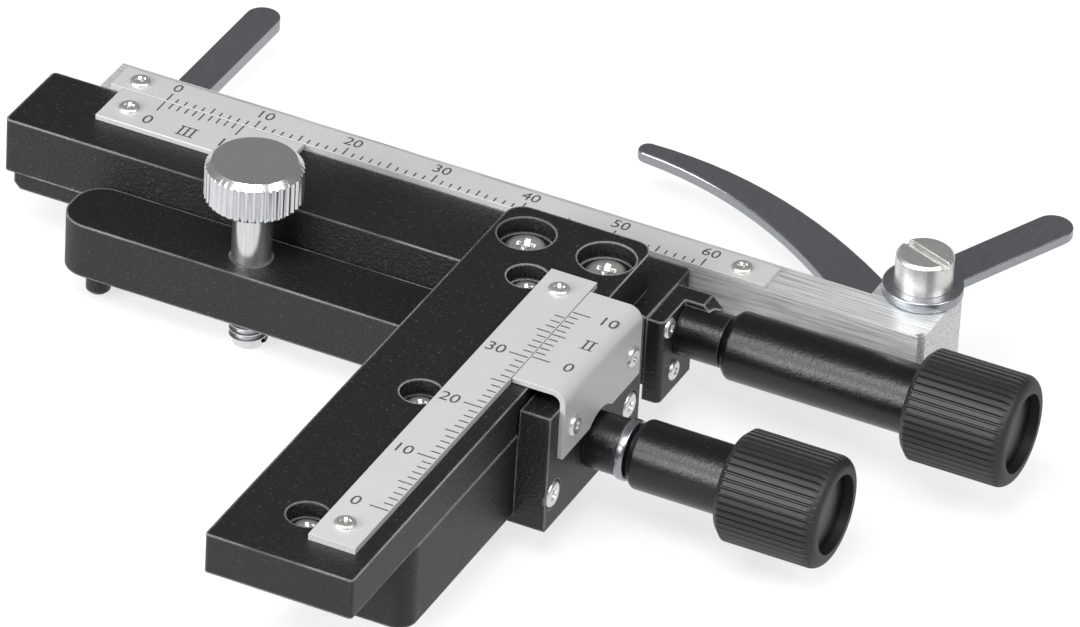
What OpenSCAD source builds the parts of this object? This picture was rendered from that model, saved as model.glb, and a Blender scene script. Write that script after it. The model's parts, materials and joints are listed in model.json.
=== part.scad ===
// Attachable mechanical stage: it clamps on a microscope's fixed stage and moves a slide in X and Y.
// Frame: +X along the cross bar to the right, +Y away from the user, +Z up.
// Origin: the clamp screw's axis where it leaves the mounting face.

/* [Mounting bar] */
// Width of the mounting bar
mount_w = 7.6; // [7.2:0.1:8.6]
// Thickness of the mounting bar
mount_t = 6.1; // [5.2:0.1:6.6]
// Reach of the mounting bar to the left of the clamp screw
mount_reach = 20.3; // [19.5:0.1:24]
// Distance from the clamp screw to the guide block
mount_arm = 24.2; // [23:0.1:28]
// Radius of the mounting bar's two free corners
mount_corner_r = 3.2; // [1:0.1:3.4]
// Distance of each locating pin from the clamp screw
pin_offset = 17.1; // [13:0.1:17.6]
// Diameter of the locating pins
pin_d = 2.55; // [2:0.05:3]
// Length of the locating pins below the mounting face
pin_proud = 3.7; // [2:0.1:6]
// Diameter of the pins' shanks, pressed into the bar
pin_shank_d = 2; // [1.6:0.05:2.2]

/* [Clamp screw] */
// Diameter of the plain shank
clamp_shank_d = 4.1; // [4.05:0.05:5]
// Diameter of the thread
clamp_thread_d = 4; // [3:0.1:4]
// Diameter of the undercut between thread and shank
clamp_undercut_d = 3.2; // [2.6:0.1:3.3]
// Length of thread below the mounting face
clamp_proud = 4.3; // [3:0.1:8]
// Height of bare shank between the mounting bar and the head
clamp_rise = 6.9; // [6:0.1:10]
// Diameter of the knurled head
clamp_head_d = 10; // [8:0.1:11]
// Height of the knurled head
clamp_head_h = 4.4; // [3.5:0.1:6]
// Number of flutes round the head
clamp_flutes = 36; // [24:1:48]

/* [Guide block] */
// Width of the guide block
guide_w = 15.4; // [14.8:0.1:17]
// Height of the guide block
guide_h = 9.2; // [9:0.1:10]
// Length of the guide block
guide_l = 46.9; // [40:0.1:50]
// Distance of the guide block's far end behind the clamp screw
guide_far = 3.3; // [2.8:0.1:3.6]
// Radius of the guide block's near outer corner
guide_corner_r = 2; // [0.5:0.1:3]
// Thickness of the side bracket's floor
floor_t = 1; // [0.8:0.1:1.5]
// Thickness of the side bracket's cheek
cheek_t = 3.5; // [3:0.1:4.5]
// Length of the side bracket
cheek_l = 21; // [20:0.1:24]
// Distance of the side bracket's far end behind the clamp screw
cheek_far = 0.3; // [0:0.1:1]
// Height of the cheek's top above the mounting face
cheek_top = 13.3; // [12.5:0.1:13.6]

/* [Arm plate] */
// Thickness of the arm plate
arm_t = 4.4; // [3.8:0.1:5]
// Distance of the arm plate's far end behind the clamp screw
arm_far = 10.1; // [9:0.1:11]
// Radius of the arm plate's far corners
arm_corner_r = 2; // [0.5:0.1:2.5]
// Width of the tongue's neck
tongue_neck_w = 3.2; // [3:0.1:3.6]
// Width of the tongue's foot
tongue_foot_w = 6; // [5.2:0.1:6.6]
// Thickness of the tongue's foot
tongue_foot_t = 1.5; // [1.2:0.1:1.6]

/* [Cross bar] */
// Reach of the cross bar to the left of the clamp screw
cross_reach = 30.3; // [29:0.1:34]
// Overhang of the cross bar past the guide block
cross_over = 2.1; // [1.5:0.1:4]
// Depth of the cross bar from front to back
cross_w = 10.3; // [10:0.1:11]
// Height of the cross bar
cross_h = 6.1; // [6:0.1:6.6]
// Thickness of the keeper plate under the cross bar
keeper_t = 2; // [1.5:0.1:2.4]

/* [Slide holder] */
// Length of the silver slide bar to the left of the clamp screw
slide_reach = 24.9; // [24.5:0.1:27]
// Length of the silver slide bar to the right of the clamp screw
slide_arm = 67; // [66:0.1:68]
// Depth of the silver slide bar
slide_w = 4.8; // [4.2:0.1:6]
// Height of the silver slide bar
slide_h = 8.5; // [8:0.1:9]
// Length of the end block along the bar
block_l = 7.8; // [7.6:0.1:11]
// Depth of the end block from front to back
block_w = 10; // [9.8:0.1:12]
// Thickness of both fingers
finger_t = 1.5; // [1:0.1:2]
// Width of the fixed finger
finger_w = 3.7; // [3:0.1:4.5]
// Reach of the fixed finger behind the slide bar
finger_reach = 29.3; // [26:0.1:34]
// Length of the fixed finger's foot under the slide bar
finger_foot_l = 14; // [11:0.1:20]
// Width of the sliding rail's web
web_w = 2; // [1.6:0.1:2.4]
// Depth of the sliding rail's foot from front to back
foot_t = 1.6; // [1.4:0.1:1.8]
// Height of the sliding rail's foot
foot_h = 4.8; // [4.2:0.1:5]

/* [Clip] */
// Radius of the clip's round hub
hub_r = 4.1; // [3.8:0.1:4.6]
// Thickness of the clip's lever
clip_t = 1.2; // [0.8:0.1:1.6]
// Distance from the pivot to the middle of the lever's rounded tip
lever_l = 17.5; // [14:0.1:20]
// Width of the lever
lever_w = 4.1; // [3.4:0.1:4.8]
// Direction of the lever, in degrees from +X
lever_angle = 66; // [60:1:75]
// Distance from the pivot to the curved finger's tip, along the bar
clip_reach = 40.3; // [38:0.1:44]
// Distance from the pivot to the curved finger's tip, across the bar
clip_out = 22.4; // [21:0.1:25]
// Width of the curved finger halfway along
clip_w = 4.6; // [4:0.1:5.2]
// Diameter of the pivot pin's head
pivot_head_d = 5.9; // [5:0.1:7]
// Height of the pivot pin's head
pivot_head_h = 3.5; // [3:0.1:4.5]
// Diameter of the pivot pin
pivot_d = 3.2; // [2.6:0.1:3.4]

/* [Scales] */
// Thickness of the scale and vernier plates
scale_t = 0.6; // [0.4:0.05:0.7]
// Width of the ruler on the arm
y_ruler_w = 5; // [4.6:0.1:5]
// Length of the ruler on the arm, which sets the arm plate's length
y_ruler_l = 52.4; // [50:0.1:54]
// Width of the ruler on the slide bar
x_ruler_w = 3.7; // [3.2:0.1:4.2]
// Length of the ruler on the slide bar
x_ruler_l = 73.5; // [72:0.1:76]
// Length of the bent vernier plate along the arm
vernier_two_l = 17.3; // [16.8:0.1:19]
// Height of the bent vernier plate's side
vernier_two_drop = 7.7; // [7.2:0.1:8.6]
// Length of the flat vernier plate
vernier_three_l = 20.8; // [20:0.1:23]
// Width of the flat vernier plate
vernier_three_w = 5.8; // [5:0.1:6.2]

/* [Knobs] */
// Diameter of the knobs
knob_d = 11.5; // [11:0.1:12.2]
// Length of the near knob
y_knob_l = 10.8; // [9:0.1:12]
// Length of the far knob
x_knob_l = 11; // [9:0.1:12]
// Length of the near knob's sleeve
y_sleeve_l = 10.7; // [8:0.1:14]
// Length of the far knob's sleeve
x_sleeve_l = 20.7; // [19:0.1:24]
// Diameter of both sleeves
sleeve_d = 7.15; // [6.6:0.05:7.6]
// Number of ribs round each knob
knob_ribs = 46; // [24:1:48]
// Diameter of both shafts
shaft_d = 2.4; // [2:0.1:2.5]
// Height of the near shaft's axis
y_axis_z = 4.95; // [4.9:0.05:5]
// Distance of the near shaft's axis in front of the clamp screw
y_axis_front = 10.2; // [9:0.1:11]
// Height of the far shaft's axis above the cross bar's underside
x_axis_up = 2.7; // [2.6:0.05:2.8]
// Depth of the far shaft's axis behind the cross bar's front
x_axis_in = 5; // [4.9:0.1:5.2]

/* [Gears] */
// Module of the rack and its pinion
gear_module = 0.4; // [0.38:0.01:0.42]
// Travel of the slide holder for one turn of the far knob
helix_lead = 20; // [18:1:24]
// Number of threads on the helical pinion
helix_starts = 6; // [5:1:7]
// Radius over the helical pinion's threads
helix_r = 2.3; // [2.2:0.05:2.35]

/* [Fits] */
// Gap between flat sliding faces
slide_gap = 0.1; // [0.08:0.01:0.15]
// Radial gap round each shaft
shaft_gap = 0.05; // [0.03:0.01:0.08]
// Gap round screws in tapped holes
thread_gap = 0.02; // [0.01:0.01:0.04]
// Gap between the cross bar and the mounting bar
cross_gap = 0.2; // [0.15:0.05:0.5]

/* [Hidden] */
$fn = 48;
eps = 0.01;
over = 1;
deg_per_turn = 360;

// Guide block and side bracket
guide_x0 = mount_arm;
guide_x1 = guide_x0 + guide_w;
guide_y1 = guide_far;
guide_y0 = guide_y1 - guide_l;
guide_z0 = floor_t;
guide_z1 = guide_z0 + guide_h;
cheek_x1 = guide_x1 + cheek_t;
cheek_y1 = cheek_far;
cheek_y0 = cheek_y1 - cheek_l;
tenon_l = 3;
tenon_w = 5.6;
tenon_drop = 1;
tenon_tap_d = 4;
cheek_relief = 0.15;
pin_hole_d = 4;
pin_counterbore_d = 0.3;
pin_embed = 3.6;
pin_chamfer = 0.3;
// the pin's shoulder stands off the face by this much, so a close sleeve seats freely
pin_relief = 0.1;

// Clamp screw
clamp_undercut_l = 0.8;
thread_chamfer = 0.4;
head_cap_t = 1.2;
head_low_bevel = 0.4;
head_top_bevel = 0.65;
flute_depth = 0.3;

// Arm plate
arm_x1 = guide_x1;
arm_lip = 0.3;
arm_x0 = guide_x0 - arm_lip;
arm_y1 = arm_far;
arm_z0 = guide_z1 + slide_gap;
arm_z1 = arm_z0 + arm_t;
arm_near_r = 0.4;
// the ruler ends in front of the plate screws, and the arm plate reaches past its near end
y_ruler_plate_gap = 3.7;
y_ruler_y1 = mount_w / 2 + cross_gap - y_ruler_plate_gap;
y_ruler_y0 = y_ruler_y1 - y_ruler_l;
arm_margin = 4;
arm_y0 = y_ruler_y0 - arm_margin;
tongue_back = 5.1;
tongue_far = 0.5;
tongue_y1 = tongue_far;
tongue_y0 = arm_y0 + tongue_back;
tongue_neck_h = 1.1;
arm_screw_in = 7;
arm_screw_x = arm_x0 + arm_screw_in;
arm_screw_near_in = 2.6;
arm_screw_far_in = 1.65;
arm_screw_share = 0.5058;
arm_screw_y0 = tongue_y0 + arm_screw_near_in;
arm_screw_y1 = tongue_y1 - arm_screw_far_in;
arm_screw_ys = [arm_screw_y0, arm_screw_y0 + arm_screw_share * (arm_screw_y1 - arm_screw_y0), arm_screw_y1];
arm_tap_d = 2.1;
foot_z1 = arm_z0 - tongue_neck_h;
foot_z0 = foot_z1 - tongue_foot_t;

// Cross bar and keeper
cross_x0 = -cross_reach;
cross_x1 = guide_x1 + cross_over;
cross_y0 = mount_w / 2 + cross_gap;
cross_y1 = cross_y0 + cross_w;
cross_z1 = arm_z0;
cross_z0 = cross_z1 - cross_h;
cross_corner_r = 0.5;
keeper_in = 1;
keeper_x0 = cross_x0 + keeper_in;
keeper_z0 = cross_z0 - keeper_t;
keeper_back = 0.3;
keeper_bevel = 0.5;
keeper_tap_d = 2.1;
keeper_screw_near_in = 3.5;
keeper_screw_far_in = 8;
keeper_screw_back = 2.2;
keeper_screw_xs = [cross_x0 + keeper_screw_near_in, (cross_x0 + cross_x1) / 2,
    cross_x1 - keeper_screw_far_in];
keeper_screw_y = cross_y0 + keeper_screw_back;
plate_screw_left = 3.55;
plate_screw_right = 3.3;
plate_screw_back = 1.65;
plate_screw_xs = [arm_x0 + plate_screw_left, arm_x1 - plate_screw_right];
plate_screw_y = cross_y0 + plate_screw_back;
plate_tap_d = 3.7;

// Shaft axes
y_axis_y = -y_axis_front;
x_axis_y = cross_y0 + x_axis_in;
x_axis_z = cross_z0 + x_axis_up;

// Slide bar, its rail and end block
slide_x0 = -slide_reach;
slide_x1 = slide_arm;
slide_y0 = cross_y1 + slide_gap;
slide_y1 = slide_y0 + slide_w;
slide_z1 = cross_z1 + slide_gap;
slide_z0 = slide_z1 - slide_h;
block_x0 = slide_x1 - block_l;
block_y1 = slide_y0 + block_w;
block_corner_r = 0.5;
end_bevel = 0.4;
rail_short = 1.1;
rail_x0 = slide_x0;
rail_x1 = cross_x1 - rail_short;
rail_tap_d = 2.6;
rail_screw_in = 10;
rail_screw_xs = [rail_x0 + rail_screw_in, (rail_x0 + rail_x1) / 2, rail_x1 - rail_screw_in];
helix_reach = 0.3;
rail_face_y = x_axis_y + helix_r - helix_reach;
rail_foot_y1 = rail_face_y + foot_t;
rail_foot_z0 = x_axis_z - (foot_h - slide_gap) / 2;
rail_foot_z1 = x_axis_z + (foot_h - slide_gap) / 2;
lip_z1 = x_axis_z - web_w / 2 - slide_gap;
slot_top = rail_foot_z1 + slide_gap;

// Slide bar's fixed finger
finger_in = 0.3;
finger_back = 0.6;
finger_x0 = slide_x0 + finger_in;
finger_x1 = finger_x0 + finger_w;
finger_y0 = slide_y0 + finger_back;
finger_y1 = slide_y1 + finger_reach;
finger_z0 = slide_z0 - finger_t;
finger_tap_d = 2.2;
finger_screw_in = 2;
finger_screw_xs = [(finger_x0 + finger_x1) / 2, finger_x0 + finger_foot_l - finger_screw_in];
finger_screw_y = (finger_y0 + slide_y1) / 2;

// Clip and its pivot
pivot_in = 3.5;
pivot_front = 2.4;
pivot_x = slide_x1 - pivot_in;
pivot_y = block_y1 - pivot_front;
pivot_edge = 0.3;
pivot_slot_w = 1;
pivot_slot_turn = -22;
pivot_slot_d = 0.6;
clip_z0 = slide_z1 + slide_gap / 2;
clip_z1 = clip_z0 + clip_t;
spring_wire_r = 0.25;
spring_pin_gap = 0.2;
spring_wall_gap = 0.3;
spring_r = pivot_d / 2 + spring_wire_r + spring_pin_gap;
spring_pocket_r = spring_r + spring_wire_r + spring_wall_gap;
spring_pocket_d = 5.4;
spring_end_gap = 0.5;
spring_turns = 4;
spring_per_turn = 12;
spring_sides = 6;
// the curved finger's bend, as shares of its reach, and its taper
bend_pull = [0.51, 0.98];
bend_root = 1.5;
bend_steps = 18;
bend_probe = 0.01;

// Scale plates
ruler_gap = 0.1;
vernier_z0 = arm_z1 + ruler_gap;
vernier_z1 = vernier_z0 + scale_t;
y_ruler_in = 8.9;
y_ruler_x0 = arm_x0 + y_ruler_in;
y_ruler_x1 = y_ruler_x0 + y_ruler_w;
y_ruler_tap_d = 2.6;
y_ruler_screw_in = 2.3;
y_ruler_screw_near = 3.2;
y_ruler_screw_far = 3.05;
y_ruler_screw_x = y_ruler_x0 + y_ruler_screw_in;
y_ruler_screw_ys = [y_ruler_y0 + y_ruler_screw_near, y_ruler_y1 - y_ruler_screw_far];
vernier_two_in = 1.9;
vernier_two_y0 = cheek_y0 + vernier_two_in;
vernier_two_y1 = vernier_two_y0 + vernier_two_l;
vernier_two_x0 = y_ruler_x1 + ruler_gap;
vernier_two_x1 = cheek_x1 + scale_t;
vernier_bend_r = 1.5;
vernier_arch_r = 3.7;
vernier_two_tap_d = 2.6;
vernier_three_in = 7.9;
vernier_three_x0 = cross_x0 + vernier_three_in;
vernier_three_x1 = vernier_three_x0 + vernier_three_l;
vernier_three_y1 = cross_y1;
vernier_three_y0 = vernier_three_y1 - vernier_three_w;
vernier_three_screw_in = 2.4;
vernier_three_screw_back = 2.8;
vernier_three_screw_xs = [vernier_three_x0 + vernier_three_screw_in,
    vernier_three_x1 - vernier_three_screw_in];
vernier_three_screw_y = vernier_three_y0 + vernier_three_screw_back;
x_ruler_in = 1.1;
x_ruler_x0 = slide_x0 + x_ruler_in;
x_ruler_x1 = x_ruler_x0 + x_ruler_l;
x_ruler_tap_d = 1.8;
x_ruler_screw_left = 2.5;
x_ruler_screw_right = 3.3;
x_ruler_screw_back = 1.8;
x_ruler_screw_xs = [x_ruler_x0 + x_ruler_screw_left, x_ruler_x1 - x_ruler_screw_right];
x_ruler_screw_y = slide_y0 + x_ruler_screw_back;
x_ruler_t = cross_z1 + scale_t - slide_z1;

// Screws: [thread radius, head radius, head height]
SMALL = [0.7, 1.15, 0.8];
SIDE = [0.8, 1.45, 0.9];
PLATE = [1.5, 2.15, 1.3];
ARM = [0.9, 1.45, 0.9];
BEARING = [0.6, 1.1, 0.7];
// Countersunk screws: [thread radius, head radius]
TENON = [0.7, 1.2];
RAIL = [0.7, 1.3];
KEEPER = [0.8, 1.5];
flat_slot_w = 0.3;
flat_slot_d = 0.35;
// free length between a screw's tip and the end of its hole
tip_gap = 0.3;
// a pan head's dome and cross recess, as shares of the head
dome_share = 1.9;
recess_reach = 0.55;
recess_half = 0.12;
recess_from = 0.35;
arm_bore_r = 2.1;
arm_bore_depth = 1.8;
plate_bore_r = 2.95;
plate_bore_depth = 1.9;
cheek_screw_near = [1.6, 3.6];
cheek_screw_far = [2.2, 3.9];
cheek_screws = [[cheek_y0 + cheek_screw_near[0], cheek_screw_near[1]],
    [cheek_y1 - cheek_screw_far[0], cheek_screw_far[1]]];
cheek_bore_d = 0.3;
cheek_tap_d = 7;
vernier_two_near = [2.3, 2.8];
vernier_two_far = [2, 2.4];
vernier_two_screws_at = [[vernier_two_y0 + vernier_two_near[0], cheek_top - vernier_two_near[1]],
    [vernier_two_y1 - vernier_two_far[0], cheek_top - vernier_two_far[1]]];

// Near drive
gear_teeth = 8;
pitch_r = gear_module * gear_teeth / 2;
tooth_out_share = 0.875;
tooth_in_share = 1.2;
tooth_out = gear_module * tooth_out_share;
// half angles of a pinion tooth at its root, pitch circle and tip
tooth_angles = [17, 8.5, 4];
rack_pitch = PI * gear_module;
rack_z = y_axis_z + pitch_r;
rack_w = 3;
rack_near = 1.1;
rack_far = 0.5;
rack_y0 = arm_screw_y0 - rack_near;
rack_root_gap = 0.15;
// half widths of a rack tooth at its foot and tip, as shares of the rack's pitch
rack_foot_share = 0.29;
rack_tip_share = 0.1;
pinion_over = 0.2;
pinion_x0 = arm_screw_x - rack_w / 2 - pinion_over;
pinion_x1 = arm_screw_x + rack_w / 2 + pinion_over;
pinion_play = 0.3;
pinion_bore_gap = 0.15;
pinion_bore_r = pitch_r + gear_module + pinion_bore_gap;
y_core_r = 0.7;
stub_r = 0.9;
stub_l = 3;
stub_gap = 0.4;
shaft_short = 0.2;
bush_r = 2.9;
y_bush_l = 3.5;
y_bush_x1 = cheek_x1 + y_bush_l;
washer_t = 1;
washer_r = 3.15;
y_sleeve_x0 = y_bush_x1 + washer_t + slide_gap;
y_sleeve_x1 = y_sleeve_x0 + y_sleeve_l;
y_knob_x1 = y_sleeve_x1 + y_knob_l;

// Far drive
bearing_t = 1.9;
bearing_x1 = cross_x1 + bearing_t;
bearing_w = 7.2;
bearing_corner_r = 0.6;
bearing_below = 1.5;
bearing_lug_l = 3.2;
bearing_lug_back = 5;
bearing_lug_bevel = 1.2;
bearing_z0 = keeper_z0 - bearing_below;
bearing_z1 = cross_z1;
x_bush_l = 5;
x_bush_r = 2.7;
x_bush_spigot_r = 1.9;
x_bush_x1 = bearing_x1 + x_bush_l;
x_sleeve_x0 = x_bush_x1 + slide_gap;
x_sleeve_x1 = x_sleeve_x0 + x_sleeve_l;
x_knob_x1 = x_sleeve_x1 + x_knob_l;
bearing_high = [1.3, 1.2];
bearing_low = [3, 0.9];
bearing_screws_at = [[cross_y0 + bearing_high[0], cross_z1 - bearing_high[1]],
    [cross_y0 + bearing_low[0], keeper_z0 + bearing_low[1]]];
bearing_tap_d = 3;
helix_l = 6;
helix_in = 1.5;
helix_x0 = rail_x0 + helix_in;
helix_x1 = helix_x0 + helix_l;
helix_depth = 0.45;
helix_core_r = helix_r - helix_depth;
helix_pitch = helix_lead / helix_starts;
helix_half_angle = 9;
helix_foot_share = 1.8;
helix_slices = 24;
cavity_gap = 0.25;
groove_gap = 0.15;
groove_over = 1.2;
groove_depth = helix_reach + groove_gap;
groove_slope = helix_lead / (2 * PI * (helix_r - helix_reach / 2));
groove_share = 0.5;

// Knob shape
knob_end_r = 1.2;
knob_chamfer = 0.7;
knob_recess_r = 4.1;
knob_recess_d = 1.6;
knob_cap_t = 0.6;
knob_cap_gap = 0.1;
rib_depth = 0.28;
// where a rib's top ends, and where the gap beside it begins and ends, as shares of a rib's step
rib_top = 0.55;
rib_gap_from = 0.7;
rib_gap_to = 0.85;
sleeve_chamfer = 0.8;

// ---- Shared shapes ----

// A box between two corners
module span(a, b) {
    translate(a) cube(b - a);
}

// Turns +Z to +X
module toward_x() {
    rotate([0, 90, 0]) children();
}

// A plain rod along X
module rod_x(x0, x1, y, z, r) {
    translate([x0, y, z]) toward_x() cylinder(r = r, h = x1 - x0);
}

// A box with rounded vertical corners, one radius for each of [left near, right near, right far, left far]
module rounded_box(a, b, radii) {
    difference() {
        span(a, b);
        corner_cut(a[0], a[1], 1, 1, radii[0], a[2], b[2]);
        corner_cut(b[0], a[1], -1, 1, radii[1], a[2], b[2]);
        corner_cut(b[0], b[1], -1, -1, radii[2], a[2], b[2]);
        corner_cut(a[0], b[1], 1, -1, radii[3], a[2], b[2]);
    }
}

// What is cut from a corner at (x, y) whose inside lies toward (sx, sy)
module corner_cut(x, y, sx, sy, r, z0, z1) {
    if (r > 0)
        translate([x, y, z0 - over]) difference() {
            translate([sx > 0 ? -over : -r, sy > 0 ? -over : -r, 0])
                cube([r + over, r + over, z1 - z0 + 2 * over]);
            translate([sx * r, sy * r, -over]) cylinder(r = r, h = z1 - z0 + 4 * over);
        }
}

// A pan-head screw, its seat at z = 0 and its head above, with a cross recess
module screw(size, length) {
    difference() {
        union() {
            rotate_extrude() intersection() {
                square([size[1], size[2]]);
                translate([0, size[2] - size[1] * dome_share]) circle(r = size[1] * dome_share);
            }
            translate([0, 0, -length]) cylinder(r = size[0], h = length + eps);
        }
        for (a = [0, 90])
            rotate(a) translate([-size[1] * recess_reach, -size[1] * recess_half, size[2] * recess_from])
                cube([2 * size[1] * recess_reach, 2 * size[1] * recess_half, size[2]]);
    }
}

// A countersunk screw with its top at z = 0
module flat_screw(size, length) {
    r = size[0];
    head_r = size[1];
    difference() {
        union() {
            translate([0, 0, -(head_r - r)]) cylinder(r1 = r, r2 = head_r, h = head_r - r);
            translate([0, 0, -length]) cylinder(r = r, h = length - (head_r - r) + eps);
        }
        translate([-head_r, -flat_slot_w / 2, -flat_slot_d])
            cube([2 * head_r, flat_slot_w, flat_slot_d + over]);
    }
}

// The hole for a countersunk screw
module flat_screw_hole(size, length) {
    r = size[0] + thread_gap;
    head_r = size[1] + thread_gap;
    translate([0, 0, -(head_r - r)]) cylinder(r1 = r, r2 = head_r, h = head_r - r + eps);
    translate([0, 0, -length - thread_gap]) cylinder(r = r, h = length + thread_gap);
    cylinder(r = head_r, h = over);
}

// A ribbed outline: flat ribs round a circle
module ribbed(r, ribs, depth) {
    step = deg_per_turn / ribs;
    polygon([for (i = [0:ribs - 1]) each [
        r * [cos(i * step), sin(i * step)],
        r * [cos((i + rib_top) * step), sin((i + rib_top) * step)],
        (r - depth) * [cos((i + rib_gap_from) * step), sin((i + rib_gap_from) * step)],
        (r - depth) * [cos((i + rib_gap_to) * step), sin((i + rib_gap_to) * step)]
    ]]);
}

// A knob from z = 0 up: ribbed, rounded at the outer end, hollowed for the cap
module knob(length) {
    r = knob_d / 2;
    difference() {
        intersection() {
            linear_extrude(length) ribbed(r, knob_ribs, rib_depth);
            rotate_extrude() difference() {
                square([r, length]);
                polygon([[r - knob_chamfer, -eps], [r + over, -eps], [r + over, knob_chamfer + over],
                    [r, knob_chamfer]]);
                difference() {
                    translate([r - knob_end_r, length - knob_end_r]) square(knob_end_r + over);
                    translate([r - knob_end_r, length - knob_end_r]) circle(r = knob_end_r);
                }
            }
        }
        translate([0, 0, length - knob_recess_d]) cylinder(r = knob_recess_r, h = knob_recess_d + over);
        translate([0, 0, -over]) cylinder(r = shaft_d / 2 + thread_gap, h = length - knob_recess_d + over);
    }
}

// A sleeve from z = 0 up, chamfered where it starts
module sleeve(length) {
    r = sleeve_d / 2;
    difference() {
        union() {
            cylinder(r1 = r - sleeve_chamfer, r2 = r, h = sleeve_chamfer);
            translate([0, 0, sleeve_chamfer]) cylinder(r = r, h = length - sleeve_chamfer);
        }
        translate([0, 0, -over]) cylinder(r = shaft_d / 2 + thread_gap, h = length + 2 * over);
    }
}

// ---- Base ----

module mounting_bar() {
    color("dimgray") difference() {
        union() {
            rounded_box([-mount_reach, -mount_w / 2, 0], [guide_x0, mount_w / 2, mount_t],
                [mount_corner_r, 0, 0, mount_corner_r]);
            span([guide_x0 - eps, -tenon_w / 2, guide_z0 + tenon_drop],
                [guide_x0 + tenon_l, tenon_w / 2, mount_t]);
        }
        translate([0, 0, -over]) cylinder(r = clamp_shank_d / 2 + shaft_gap, h = mount_t + 2 * over);
        for (s = [-1, 1]) translate([s * pin_offset, 0, -over]) {
            cylinder(r = pin_shank_d / 2 + thread_gap, h = pin_hole_d + over);
            cylinder(r = pin_d / 2 + thread_gap, h = pin_counterbore_d + over);
        }
        tenon_screw_places() translate([0, 0, thread_gap])
            cylinder(r = TENON[0] + thread_gap, h = tenon_tap_d);
    }
}

// Where the two screws enter the tenon from below, pointing up
module tenon_screw_places() {
    for (s = [-1, 1])
        translate([guide_x0 + tenon_l / 2, s * tenon_w / 4, guide_z0 + tenon_drop - thread_gap]) children();
}

module locating_pins() {
    color("silver") for (s = [-1, 1])
        translate([s * pin_offset, 0, -pin_proud]) {
            cylinder(r1 = pin_d / 2 - pin_chamfer, r2 = pin_d / 2, h = pin_chamfer);
            translate([0, 0, pin_chamfer]) cylinder(r = pin_d / 2, h = pin_proud - pin_chamfer - pin_relief);
            translate([0, 0, pin_chamfer])
                cylinder(r = pin_shank_d / 2, h = pin_proud - pin_chamfer + pin_embed);
        }
}

module guide_block() {
    g = slide_gap;
    middle = arm_screw_x;
    color("dimgray") difference() {
        rounded_box([guide_x0, guide_y0, guide_z0], [guide_x1, guide_y1, guide_z1],
            [0, guide_corner_r, 0, 0]);
        // groove for the tongue's neck, its foot and the rack
        span([middle - tongue_neck_w / 2 - g, guide_y0 - over, foot_z1],
            [middle + tongue_neck_w / 2 + g, guide_y1 + over, guide_z1 + over]);
        span([middle - tongue_foot_w / 2 - g, guide_y0 - over, foot_z0 - g],
            [middle + tongue_foot_w / 2 + g, guide_y1 + over, foot_z1 + g]);
        span([middle - rack_w / 2 - 2 * g, guide_y0 - over, rack_z - tooth_out - 2 * g],
            [middle + rack_w / 2 + 2 * g, guide_y1 + over, foot_z1]);
        // bore for the pinion and its bush, and the blind bore for the shaft's end
        rod_x(pinion_x0 - pinion_play, guide_x1 + over, y_axis_y, y_axis_z, pinion_bore_r);
        rod_x(pinion_x0 - pinion_play - stub_l, pinion_x0, y_axis_y, y_axis_z, stub_r + shaft_gap);
        // mortise for the mounting bar's tenon
        span([guide_x0 - over, -tenon_w / 2, guide_z0 + tenon_drop],
            [guide_x0 + tenon_l, tenon_w / 2, mount_t]);
        tenon_screw_places() translate([0, 0, -tenon_drop + thread_gap]) rotate([180, 0, 0])
            flat_screw_hole(TENON, tenon_drop + over);
        for (p = cheek_screws)
            rod_x(guide_x1 - cheek_tap_d, guide_x1 + over, p[0], p[1], SIDE[0] + thread_gap);
    }
}

module tenon_screws() {
    color("silver") tenon_screw_places() translate([0, 0, -tenon_drop + thread_gap]) rotate([180, 0, 0])
        flat_screw(TENON, tenon_drop + tenon_tap_d - tip_gap);
}

module side_bracket() {
    color("dimgray") difference() {
        union() {
            span([guide_x0, cheek_y0, 0], [cheek_x1, cheek_y1, guide_z0]);
            span([guide_x1, cheek_y0, 0], [cheek_x1, cheek_y1, cheek_top]);
        }
        // room for the moving arm plate
        span([guide_x1 - over, cheek_y0 - over, guide_z1 - slide_gap],
            [guide_x1 + cheek_relief, cheek_y1 + over, cheek_top + over]);
        // the floor stops short of the mounting bar
        span([guide_x0 - over, -mount_w / 2 - slide_gap, -over],
            [guide_x0 + tenon_l + over, cheek_y1 + over, guide_z0 + eps]);
        rod_x(guide_x1 - over, cheek_x1 + over, y_axis_y, y_axis_z, pinion_bore_r);
        for (p = cheek_screws) {
            rod_x(guide_x1 - over, cheek_x1 + over, p[0], p[1], SIDE[0] + thread_gap);
            rod_x(cheek_x1 - cheek_bore_d, cheek_x1 + over, p[0], p[1], SIDE[1] + slide_gap);
        }
        for (p = vernier_two_screws_at)
            rod_x(cheek_x1 - vernier_two_tap_d, cheek_x1 + over, p[0], p[1], SMALL[0] + thread_gap);
    }
}

module bracket_screws() {
    color("silver") for (p = cheek_screws)
        translate([cheek_x1 - cheek_bore_d, p[0], p[1]]) toward_x()
            screw(SIDE, cheek_t - cheek_bore_d + cheek_tap_d - tip_gap);
}

module y_bush() {
    color("dimgray") difference() {
        union() {
            rod_x(cheek_x1, y_bush_x1, y_axis_y, y_axis_z, bush_r);
            rod_x(pinion_x1 + pinion_play, cheek_x1 + eps, y_axis_y, y_axis_z, pinion_bore_r - thread_gap);
        }
        rod_x(pinion_x0, y_bush_x1 + over, y_axis_y, y_axis_z, shaft_d / 2 + shaft_gap);
    }
}

module y_washer() {
    color("silver") difference() {
        rod_x(y_bush_x1, y_bush_x1 + washer_t, y_axis_y, y_axis_z, washer_r);
        rod_x(y_bush_x1 - over, y_bush_x1 + washer_t + over, y_axis_y, y_axis_z, shaft_d / 2 + shaft_gap);
    }
}

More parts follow.
